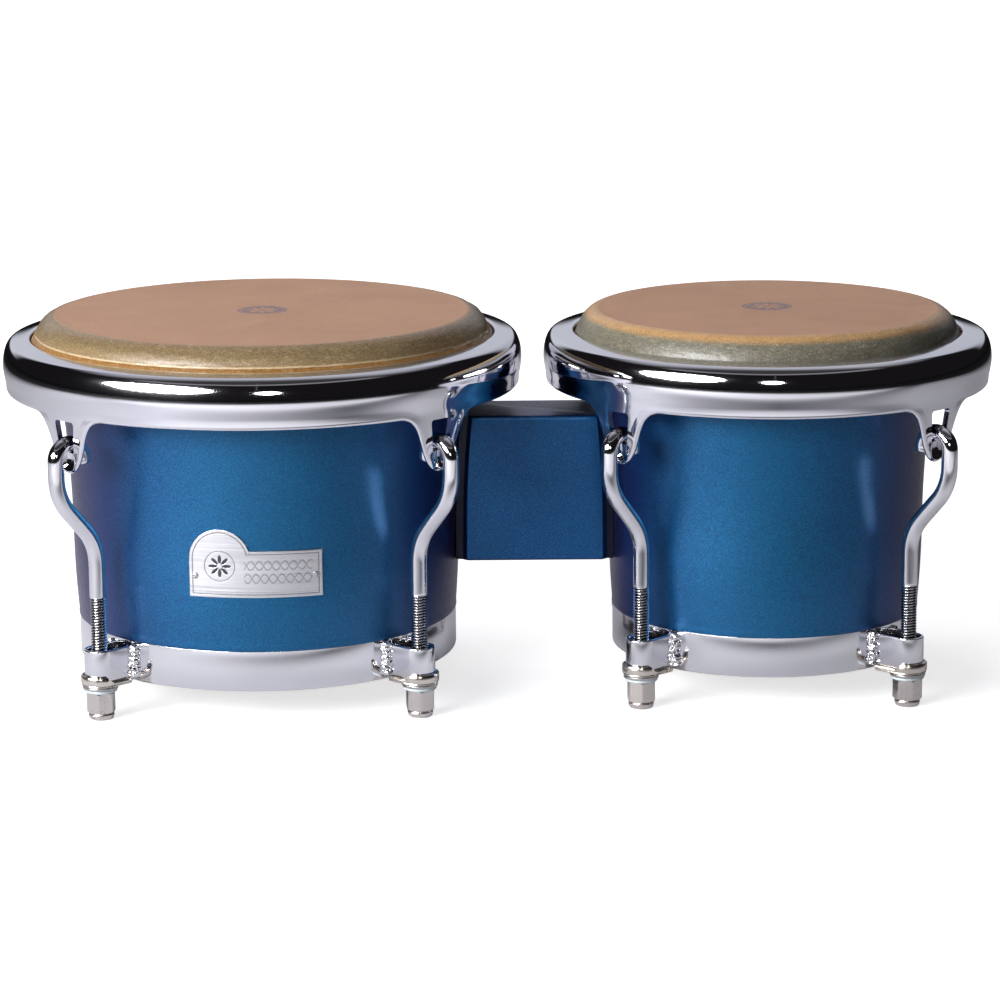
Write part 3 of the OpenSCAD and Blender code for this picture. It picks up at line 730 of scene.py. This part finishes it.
def rod_path():
    """Centre line of the plain part, from the top of the thread to the hook's tip."""
    pts = [(0, z) for z in (THREAD_TOP + 0.6, THREAD_TOP + 2, SWAY_LOW - 6)]
    pts += [(SWAY_R - SWAY_R * math.cos(t), SWAY_LOW + SWAY_R * math.sin(t))
            for t in np.linspace(0, SWAY_A, 12)]
    pts += arc(SWAY_W - SWAY_R, SWAY_Z, SWAY_R, -SWAY_A, 0, 12)
    pts += [(SWAY_W, SWAY_Z + 4)]
    pts += arc(SWAY_W - HOOK_R, HOOK_Z, HOOK_R, 0, math.pi, 30)
    pts += [(SWAY_W - 2 * HOOK_R, HOOK_Z - 0.3)]
    return np.array(pts)


def rod_mesh():
    """A rod with a helical thread, its bends and its hooked end."""
    around = 32
    phi = angles(around)
    rows = []
    for z, r in ((6.0, 0.02), (6.0, 2.6), (6.9, 3.35)):
        rows.append(circle(r, z, phi))
    for z in np.arange(7.2, THREAD_TOP, PITCH / 9):
        wave = np.abs(((z / PITCH - phi / (2 * math.pi)) % 1.0) * 2 - 1)
        run_out = smooth_step((THREAD_TOP - z) / 1.6)
        r = ROD_R - 0.8 * np.clip(wave * 1.3 - 0.15, 0, 1) * run_out
        rows.append(circle(r, z, phi))
    path = rod_path()
    step = np.gradient(path, axis=0)
    step /= np.linalg.norm(step, axis=1)[:, None]
    for (x, z), (tx, tz) in zip(path, step):
        rows.append(np.stack([
            x + ROD_R * np.cos(phi) * tz,
            ROD_R * np.sin(phi),
            z - ROD_R * np.cos(phi) * tx], -1))
    x, z = path[-1]
    for r, drop in ((3.9, 1.6), (3.4, 2.2), (2.4, 2.5), (0.02, 2.5)):
        rows.append(np.stack([x - r * np.cos(phi), r * np.sin(phi), np.full(around, z - drop)], -1))
    rows = np.array(rows)
    return rows.reshape(-1, 3), capped_faces(len(rows), around)


def make_hooks(d):
    points, faces = rod_mesh()
    p, f = merged([(placed(points, d, lug), faces) for lug in LUGS.values()])
    obj = add_piece(d.name + "_hook_rods", p, f, [hook_chrome], 50)
    x, y, z = p.T
    axis = [d.at(lug) for lug in LUGS.values()]
    core = np.min([np.hypot(x - ax, y - ay) for ax, ay in axis], axis=0)
    # The groove attribute marks where shade is painted, at the thread's roots
    add_attribute(obj, "groove", np.clip((3.9 - core) / 0.6, 0, 1) * (z < THREAD_TOP) * (z > 7))
    finish_piece(obj, d.name + "_tuning_rim", "hook_chrome", d.name + "_tuning_hooks")


# ---- bottom rings, brackets and welds ----

def make_ring(d):
    r = d.ring
    outline = rounded([
        (r - 8, RING_Z), (r, RING_Z), (r, RING_TOP), (r - 2, RING_TOP), (r - 2, PLATE_Z), (r - 8, PLATE_Z)],
        [0.5, 0.8, 0.12, 0.4, 0.1, 0.5], 4)
    obj = add_piece(
        d.name + "_ring", lathe_points(outline, d.cx, 0, 256),
        grid_faces(len(outline), 256, True, True), [ring_chrome], 35)
    finish_piece(obj, "root", "ring_chrome", d.name + "_bottom_ring")


def strap_mesh(d):
    """A strap bent round the rod, its two ends running into the welds."""
    mid, thick, tall = 6.7, 1.8, 16.0
    reach = d.rod - math.sqrt(d.ring ** 2 - (mid + 0.9) ** 2) + 0.4
    side = [(-x, mid) for x in np.linspace(reach, 0.6, 7)]
    bend = [(mid * math.cos(a), mid * math.sin(a)) for a in np.radians(np.linspace(84, -84, 33))]
    line = np.array(side + bend + [(x, -y) for x, y in side[::-1]])
    step = np.gradient(line, axis=0)
    step /= np.linalg.norm(step, axis=1)[:, None]
    out = np.stack([-step[:, 1], step[:, 0]], -1)
    section = rounded([
        (-thick / 2, 0), (thick / 2, 0), (thick / 2, tall), (-thick / 2, tall)], 0.6, 4)
    rows = []
    for (x, y), (nx, ny) in zip(line, out):
        rows.append([(x + nx * s, y + ny * s, PLATE_Z + z) for s, z in section])
    return np.array(rows).reshape(-1, 3), capped_faces(len(rows), len(section))


def weld_mesh(d, side, seed):
    """A lumpy bead down the corner between a strap and the ring."""
    y0 = side * 8.2
    x0 = math.sqrt(d.ring ** 2 - y0 ** 2) - d.rod + 0.6
    rows, around = [], 40
    phi = angles(around)
    zs = np.linspace(PLATE_Z - 0.3, RING_TOP - 1.0, 64)
    for k, z in enumerate(zs):
        w = k / (len(zs) - 1)
        foot_cap = math.sqrt(max(1 - max(0, 1 - w * 14) ** 2, 0.0))
        top_cap = math.sqrt(max(1 - max(0, 1 - (1 - w) * 12) ** 2, 0.0))
        beat = abs(math.sin(z * 1.35 + seed)) ** 0.6
        q = circle(3, z, phi)
        lumps = wobble(q + seed * 11, 0.5, seed) * 0.9 + np.abs(wobble(q, 1.1, seed * 2.3)) * 0.8
        r = (1.3 + 0.4 * beat + lumps + 0.5 * (1 - w)) * (foot_cap * top_cap)
        r = np.maximum(r, 0.02)
        rows.append(np.stack([x0 + r * np.cos(phi), y0 + r * 1.12 * np.sin(phi), np.full(around, z)], -1))
    return np.array(rows).reshape(-1, 3), capped_faces(len(rows), around)


def make_brackets(d):
    strap = strap_mesh(d)
    p, f = merged([(placed(strap[0], d, lug), strap[1]) for lug in LUGS.values()])
    obj = add_piece(d.name + "_straps", p, f, [bracket_chrome], 40)
    finish_piece(obj, "root", "bracket_chrome", d.name + "_lug_brackets")
    beads = []
    for k, lug in enumerate(LUGS.values()):
        for side in (-1, 1):
            p, f = weld_mesh(d, side, 1.7 * k + side + (5 if d is SMALL else 0))
            beads.append((placed(p, d, lug), f))
    p, f = merged(beads)
    obj = add_piece(d.name + "_weld_beads", p, f, [weld_chrome], 180)
    finish_piece(obj, "root", "bracket_chrome", d.name + "_lug_brackets")


# ---- saddles, washers and nuts ----

def saddle_mesh(d):
    """A cupped plate, rounded and lipped on its outer side and reaching in under the ring."""
    half, hole = 9.5, BORE_R
    reach = d.rod - d.ring - 2
    n = 72
    turn = np.linspace(0, 2 * math.pi, n, endpoint=False)
    c, s = np.cos(turn), np.sin(turn)
    box = 1 / np.maximum(np.maximum(np.abs(c) * half / reach, np.abs(s)), 1e-6)
    far = np.where(c > 0, half, np.minimum(half * box, 40))
    plan = np.stack([far * c, far * s], -1)
    plan[:, 1] = np.clip(plan[:, 1], -half, half)
    lip = 3.0 * smooth_step((c + 0.12) / 0.4)
    size = np.linalg.norm(plan, axis=1)

    def ring(inset, z):
        k = ((size - inset) / size)[:, None]
        return np.concatenate([plan * k, np.broadcast_to(z, (n,))[:, None] + SADDLE_Z], 1)

    wall = np.where(c > 0, 1.8, 1.0)
    hole_ring = np.stack([hole * c, hole * s], -1)
    rows = [
        np.concatenate([hole_ring, np.full((n, 1), SADDLE_Z)], 1),
        ring(2.2, 0.0), ring(1.1, 0.1), ring(0.45, 0.45), ring(0.35, 0.8), ring(0.5, 1.15),
        ring(0.15, 1.5), ring(0.0, 2.0), ring(0.05, 2.1 + lip), ring(0.3, 2.42 + lip), ring(0.8, 2.5 + lip),
        ring(wall * 0.8, 2.46 + lip), ring(wall, 2.2 + lip), ring(wall + 0.05, np.full(n, 2.5)),
        np.concatenate([hole_ring, np.full((n, 1), SADDLE_Z + 2.5)], 1)]
    return np.array(rows).reshape(-1, 3), grid_faces(len(rows), n, True, True)


def make_stack(d):
    p, f = saddle_mesh(d)
    points, faces = merged([(placed(p, d, lug), f) for lug in LUGS.values()])
    obj = add_piece(d.name + "_saddles", points, faces, [saddle_nickel], 38)
    finish_piece(obj, "root", "saddle_nickel", d.name + "_saddle_washers")
    for piece, outer, z0, z1, r, mat, slot, node in (
            ("_flat_washers", 8.7, WASHER_Z, SADDLE_Z, 0.35, dark_steel, "washer_steel", "_steel_washers"),
            ("_sleeve_washers", 8.2, NYLON_Z, WASHER_Z, 0.6, nylon_blue, "washer_nylon", "_nylon_washers")):
        outline = rounded([(BORE_R, z0), (outer, z0), (outer, z1), (BORE_R, z1)], r, 4)
        parts = []
        for lug in LUGS.values():
            x, y = d.at(lug)
            parts.append((lathe_points(outline, x, y, 64), grid_faces(len(outline), 64, True, True)))
        points, faces = merged(parts)
        obj = add_piece(d.name + piece, points, faces, [mat], 35)
        finish_piece(obj, "root", slot, d.name + node)


def nut_mesh():
    """A hex nut with chamfered corners, a neck and a rounded collar."""
    around, flat = 120, 6.5
    phi = angles(around)
    off = (phi + math.pi / 6) % (math.pi / 3) - math.pi / 6
    hexagon = flat / np.cos(off)
    hexagon = np.minimum(hexagon, flat / math.cos(math.pi / 6) - 0.22)
    rows = []
    for r, z in ((4.05, 13.9), (4.05, 0.1), (4.15, 0.0), (4.95, 0.0), (5.5, 0.25), (5.95, 0.75), (6.2, 1.4),
                 (6.3, 2.0), (6.3, 2.5), (6.15, 2.78), (5.7, 2.85), (5.6, 3.2), (5.7, 3.5)):
        rows.append(circle(r, z, phi))
    for z in list(np.linspace(3.55, 4.7, 8)) + [6, 8, 10, 11.5] + list(np.linspace(12.4, 13.95, 9)):
        cone = 6.35 + min(z - 3.55, 13.95 - z) * 1.75
        rows.append(circle(np.minimum(hexagon, cone), z, phi))
    rows += [circle(6.1, 14.0, phi), circle(4.2, 14.0, phi)]
    return np.array(rows).reshape(-1, 3), grid_faces(len(rows), around, True, True)


def make_nuts(d):
    p, f = nut_mesh()
    for k, (place, lug) in enumerate(LUGS.items()):
        turn = math.radians((11, -7, 24, 3)[k] + (9 if d is SMALL else 0) + lug)
        x, y = d.at(lug)
        q = np.stack([
            x + p[:, 0] * math.cos(turn) - p[:, 1] * math.sin(turn),
            y + p[:, 0] * math.sin(turn) + p[:, 1] * math.cos(turn), p[:, 2]], -1)
        obj = add_piece(d.name + "_hex_nut_" + place, q, f, [nickel], 24)
        finish_piece(obj, d.name + "_tuning_nut_" + place, "nut_nickel", d.name + "_nut_" + place)


# ---- centre block ----

def make_block():
    """The block between the shells: hollowed to fit each one, with a step and a cove at its ends."""
    heights = [(BLOCK_Z0, 1.5), (BLOCK_Z0 + 0.12, 0.9), (BLOCK_Z0 + 0.5, 0.4), (BLOCK_Z0 + 1.2, 0.06)]
    heights += [(z, 0.0) for z in np.linspace(BLOCK_Z0 + 3, BLOCK_Z1 - 3, 24)]
    heights += [(BLOCK_Z1 - 1.2, 0.06), (BLOCK_Z1 - 0.5, 0.4), (BLOCK_Z1 - 0.12, 0.9), (BLOCK_Z1, 1.5)]
    cove_w, cove_d, step = 6.2, 4.5, 0.9

    def end(d, side, z, inset):
        """Half of one end's outline, from the front face round to the middle of the back of the cove."""
        r = d.side(z) + 0.05
        y0 = BLOCK_HALF - inset
        y1 = BLOCK_HALF - cove_d
        face_x = math.sqrt((r + cove_w) ** 2 - y0 ** 2)
        shelf_x = math.sqrt((r + cove_w) ** 2 - y1 ** 2)
        pts = [(face_x + step, y0), (face_x + step * 0.4, y0 - 0.12)]
        pts += [(face_x + 0.06, y0 - 0.5), (face_x - 0.1, y0 - step)]
        pts += [(face_x - 1.6, y0 - 2.2), (shelf_x - 2.0, y1 + 0.35)]
        touch = r + inset * 0.3
        pts.append((math.sqrt(touch ** 2 - y1 ** 2) + 0.3, y1))
        pts.append((math.sqrt(touch ** 2 - (y1 - 0.4) ** 2), y1 - 0.4))
        pts += [(math.sqrt(touch ** 2 - y ** 2), y) for y in np.linspace(y1 - 2, 2, 8)]
        return [(d.cx + side * x, y) for x, y in pts]

    loops = []
    for z, inset in heights:
        left = end(LARGE, 1, z, inset)
        right = end(SMALL, -1, z, inset)
        lx, rx = left[0][0], right[0][0]
        front = [(x, -left[0][1]) for x in np.linspace(lx, rx, 16)[1:-1]]
        back = [(x, left[0][1]) for x in np.linspace(rx, lx, 16)[1:-1]]
        loop = [(x, -y) for x, y in left[::-1]] + front + [(x, -y) for x, y in right]
        loop += right[::-1] + back + left
        loops.append([(x, y, z) for x, y in loop])
    faces = capped_faces(len(loops), len(loops[0]))
    obj = add_piece("block_body", np.array(loops).reshape(-1, 3), faces, [block_paint], 32)
    finish_piece(obj, "root", "block_paint", "centre_block")


# ---- badge ----

def make_badge():
    """A curved plate with an arch at its left, a grid whose top row follows the outline."""
    half, z0, flat_top, arch_r = BADGE_HALF, BADGE_FOOT, BADGE_TOP, BADGE_ARCH
    arch_x, arch_z = -half + arch_r, flat_top + 10.6 - arch_r
    w = np.linspace(0, 1, 262)
    across = -half + 2 * half * (w - 0.012 * np.sin(2 * math.pi * w))
    across = np.unique(np.concatenate([across, -half + np.array([0.01, 0.04, 0.1, 0.2, 0.35])]))
    inside = np.abs(across - arch_x) < arch_r
    bow = arch_z + np.sqrt(np.maximum(arch_r ** 2 - (across - arch_x) ** 2, 0))
    top = np.where(inside, bow, flat_top)
    top = np.where(across > arch_x, np.maximum(top, flat_top), top)
    v = np.linspace(0, 1, 150)
    u = np.repeat(across[None, :], len(v), 0)
    z = z0 + (top - z0)[None, :] * v[:, None]
    near = np.minimum(np.minimum(u + half, half - u), z - z0)
    round_gap = arch_r - np.hypot(u - arch_x, z - arch_z)
    over = np.where((z > arch_z) & (u < arch_x + 14.4), round_gap, flat_top - z)
    both = (u > arch_x) & (z < flat_top)
    over = np.where(both, np.maximum(round_gap, flat_top - z), over)
    over = np.where((z <= arch_z) & (u <= arch_x), 99.0, over)
    gap = np.minimum(near, over)
    border = np.clip(1.4 - np.abs(gap - 1.7) / 0.3, 0, 1)
    cut = np.maximum(border * 0.85, ornament(u, z, arch_x, arch_z))
    edge = np.clip(gap, 0, 0.5)
    lift = 0.85 - (0.5 - np.sqrt(np.maximum(0.25 - (0.5 - edge) ** 2, 0)))
    rows = []
    for raised in (lift, np.full_like(lift, 0.05)):
        r = LARGE.side(z) + raised
        y = -np.sqrt(np.maximum(r ** 2 - u ** 2, 0))
        rows.append(np.stack([LARGE.cx + u, y, z], -1).reshape(-1, 3))
    nr, nc = z.shape
    faces = [list(q) for q in grid_faces(nr, nc, False, False)]
    faces += [list(q)[::-1] for q in grid_faces(nr, nc, False, False, nr * nc)]
    rim = [j for j in range(nc)] + [i * nc + nc - 1 for i in range(1, nr)]
    rim += [(nr - 1) * nc + j for j in range(nc - 2, -1, -1)] + [i * nc for i in range(nr - 2, 0, -1)]
    for a, b in zip(rim, rim[1:] + rim[:1]):
        faces.append([a, b, b + nr * nc, a + nr * nc])
    obj = add_piece("badge_face", np.vstack(rows), faces, [plate_metal], 40)
    add_attribute(obj, "cut", np.concatenate([cut.reshape(-1), np.zeros(nr * nc)]))
    finish_piece(obj, "root", "badge_metal", "badge_plate")
    make_pins(z0 + (flat_top - z0) * 0.46)


def ornament(u, z, cx, cz):
    """Plain engraved ornament: a rosette under the arch and two rows of waves beside it."""
    x, y = u - cx, z - (cz - 3.2)
    r, turn = np.hypot(x, y), np.arctan2(y, x)
    petals = np.clip((1.2 + 4.6 * np.abs(np.cos(4 * turn)) - r) / 0.5, 0, 1)
    petals = petals * np.clip((r - 1.1) / 0.4, 0, 1)
    ring = np.clip(1 - np.abs(r - 7.4) / 0.4, 0, 1)
    out = np.maximum(petals, ring)
    inside = smooth_step((u - (cx + 11.5)) / 1.0) * smooth_step((28.0 - u) / 1.0)
    for middle, lag in ((81.0, 0.0), (74.6, 1.6)):
        for swing in (2.2, -2.2):
            line = middle + swing * np.sin((u + lag) * 2 * math.pi / 8.2)
            wide = 0.36 + 0.3 * np.abs(np.cos((u + lag) * 2 * math.pi / 8.2))
            out = np.maximum(out, np.clip(1.3 - np.abs(z - line) / wide, 0, 1) * inside * 0.72)
    return out


def make_pins(z):
    """Two slotted pin heads, one near each end of the badge."""
    angle = BADGE_HALF / LARGE.waist - math.radians(1.6)
    parts = []
    outline = [(0.01, 0.0), (1.45, 0.0), (1.7, 0.12), (1.62, 0.35), (1.25, 0.62), (0.7, 0.78), (0.01, 0.84)]
    n = 40
    for side in (-1, 1):
        a = math.radians(270) + side * angle
        base = LARGE.side(z) + 0.86
        out = np.array([math.cos(a), math.sin(a), 0])
        wide = np.array([-math.sin(a), math.cos(a), 0])
        centre = np.array([LARGE.cx, 0, z]) + out * base
        pts = []
        for r, h in outline:
            for t in angles(n):
                groove = 0.34 if abs(math.sin(t + 0.5)) * r < 0.3 and r < 1.4 else 0.0
                across = wide * r * math.cos(t) + np.array([0, 0, 1]) * r * math.sin(t)
                pts.append(centre + across + out * (h - groove))
        parts.append((pts, capped_faces(len(outline), n)))
    p, f = merged(parts)
    obj = add_piece("badge_pin_heads", p, f, [bolt_steel], 40)
    finish_piece(obj, "root", "pin_steel", "badge_pins")


# ---- stage ----

def stage_plane(name, corners, mat):
    mesh = bpy.data.meshes.new(name)
    mesh.from_pydata(corners, [], [[0, 1, 2, 3]])
    mesh.materials.append(mat)
    obj = bpy.data.objects.new(name, mesh)
    scene.collection.objects.link(obj)


def floor_material():
    """Pale floor: evenly white to the camera; in reflections and bounced light it carries painted light and
    shade, dimmer to the front and right.
    """
    n = Nodes("PaleFloor")
    x, y, _ = n.xyz()
    reach = n.math("SQRT", n.math("ADD", n.math("MULTIPLY", x, x), n.math("MULTIPLY", y, y)))
    far = n.spread(reach, 0.35, 1.1, 0.0, 1.0, True)
    grain = n.mix(n.noise(3.0, 2.0), (0.6, 0.6, 0.61), (0.59, 0.59, 0.6))
    ahead = n.spread(y, -0.14, -0.34, 0.0, 1.0, True)
    beyond = n.spread(y, -0.36, -0.56, 0.0, 1.0, True)
    across = n.spread(x, -0.6, 0.6, 0.0, 1.0)
    # Painted light and shade: behind the front line the floor is darkest about the small drum and brightest
    # to the left, standing in for the drums' shadows and the key light
    side = n.ramp(
        across,
        (0.0, (0.38, 0.38, 0.41)),
        (0.2, (0.54, 0.54, 0.58)),
        (0.42, (0.29, 0.29, 0.31)),
        (0.62, (0.12, 0.12, 0.13)),
        (0.8, (0.24, 0.24, 0.26)))
    near = n.ramp(
        across,
        (0.0, (0.42, 0.42, 0.45)),
        (0.35, (0.62, 0.62, 0.66)),
        (0.62, (0.66, 0.66, 0.70)),
        (0.85, (0.45, 0.45, 0.47)))
    front = n.ramp(across, (0.0, (0.55, 0.55, 0.58)), (0.6, (0.66, 0.66, 0.69)), (1.0, (0.8, 0.8, 0.83)))
    painted_floor_shade = n.mix(beyond, n.mix(ahead, near, side), front)
    # Painted shade: far from the drums the floor goes near black in reflections
    mirrored = n.mix(n.spread(reach, 0.85, 1.3, 0.0, 1.0), painted_floor_shade, (0.02, 0.02, 0.02))
    seen = n.seen()
    n.set(
        Base_Color=n.mix(seen, mirrored, grain),
        Roughness=0.9,
        Specular_IOR_Level=0.0,
        Emission_Color=(1.0, 1.0, 1.0),
        Emission_Strength=n.math("MULTIPLY", seen, n.spread(far, 0.0, 1.0, 0.72, 1.0)))
    return n.mat


def area_light(name, azimuth, height, distance, target, size, power, colour=(1, 1, 1)):
    """A softbox, its azimuth in degrees to the right of the camera's side."""
    a, e = math.radians(azimuth), math.radians(height)
    aim = Vector((math.sin(a) * math.cos(e), -math.cos(a) * math.cos(e), math.sin(e)))
    place = Vector(target) + distance * aim
    light = bpy.data.lights.new(name, "AREA")
    light.shape = "ELLIPSE"
    light.size, light.size_y = size
    light.energy = power
    light.color = colour
    obj = bpy.data.objects.new(name, light)
    obj.location = place
    obj.rotation_euler = (Vector(target) - place).to_track_quat("-Z", "Y").to_euler()
    scene.collection.objects.link(obj)
    return obj


def make_world():
    """A pale panel and ceiling behind, a dark room and a grey batten in front; white to the camera."""
    n = Nodes("Studio", True)
    scene.world = n.mat
    x, y, z = n.xyz()
    backdrop = n.mix(n.spread(x, -0.5, 0.6, 0.0, 1.0, True), (0.62, 0.63, 0.70), (0.46, 0.47, 0.53))
    beside = n.math("DIVIDE", n.math("ABSOLUTE", x), n.math("MAXIMUM", y, 0.001))
    above = n.spread(z, 0.08, 0.15, 0.0, 1.0, True)
    panel = n.math("MULTIPLY", n.spread(beside, 0.5, 1.0, 1.0, 0.0, True), above)
    room = n.mix(panel, (0.008, 0.007, 0.008), backdrop)
    ceiling = n.mix(n.spread(y, -0.4, 0.3, 0.0, 1.0, True), (0.05, 0.047, 0.05), (0.46, 0.46, 0.51))
    roof = n.mix(n.spread(z, 0.62, 0.9, 0.0, 1.0, True), room, ceiling)
    batten = n.spread(y, -0.4, -0.2, 1.0, 0.0, True)
    for low_z, high_z, low_end, high_end in ((0.63, 0.66, 0.0, 1.0), (0.71, 0.74, 1.0, 0.0)):
        batten = n.math("MULTIPLY", n.spread(z, low_z, high_z, low_end, high_end, True), batten)
    lit = n.mix(batten, roof, (0.24, 0.23, 0.24))
    n.put(n.tree.nodes["Background"].inputs["Color"], n.mix(n.seen(), lit, (1.0, 1.0, 1.0)))


def make_stage():
    make_world()
    stage_plane("floor", [(-6, -6, 0), (6, -6, 0), (6, 6, 0), (-6, 6, 0)], floor_material())
    area_light("softbox_wide", -46, 19, 1.9, (0, 0, 0.15), (1.6, 0.62), 66)
    area_light("softbox_small", 2, 13.5, 2.2, (0, 0, 0.17), (0.42, 0.3), 2.2)
    top = area_light("softbox_top", -150, 74, 1.7, (0, 0, 0.15), (1.0, 0.7), 11, (1.0, 0.97, 0.94))
    top.visible_glossy = False


def make_camera():
    """The photo's camera, fitted to the drums' circles."""
    rise, swing, roll = math.radians(12.434), math.radians(-0.3506), math.radians(-0.371)
    target = Vector((0.0007, 0.0, 0.0909))
    away = Vector((math.sin(swing) * math.cos(rise), -math.cos(swing) * math.cos(rise), math.sin(rise)))
    right = (-away).cross(Vector((0, 0, 1))).normalized()
    up = right.cross(-away)
    right2 = right * math.cos(roll) + up * math.sin(roll)
    up2 = up * math.cos(roll) - right * math.sin(roll)
    cam = bpy.data.objects.new("camera", bpy.data.cameras.new("camera"))
    cam.data.lens = 125.885
    cam.data.sensor_width = 36.0
    turn = Matrix((right2, up2, away)).transposed().to_4x4()
    cam.matrix_world = Matrix.Translation(target + away * 1.7764) @ turn
    scene.collection.objects.link(cam)
    scene.camera = cam


# ---- the parts kept from CAD ----

def dress(nodes, mat):
    """Gives CAD objects a material."""
    for name in nodes:
        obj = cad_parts[name]
        obj.data.materials.clear()
        obj.data.materials.append(mat)


for drum in DRUMS:
    make_shell(drum)
    make_head(drum)
    make_rim(drum)
    make_hooks(drum)
    make_ring(drum)
    make_brackets(drum)
    make_stack(drum)
    make_nuts(drum)
make_block()
make_badge()
dress(["large_flesh_hoop", "small_flesh_hoop"], dark_steel)
dress(["block_bolts", "block_bolt_washers", "block_bolt_nuts"], bolt_steel)
make_stage()
make_camera()
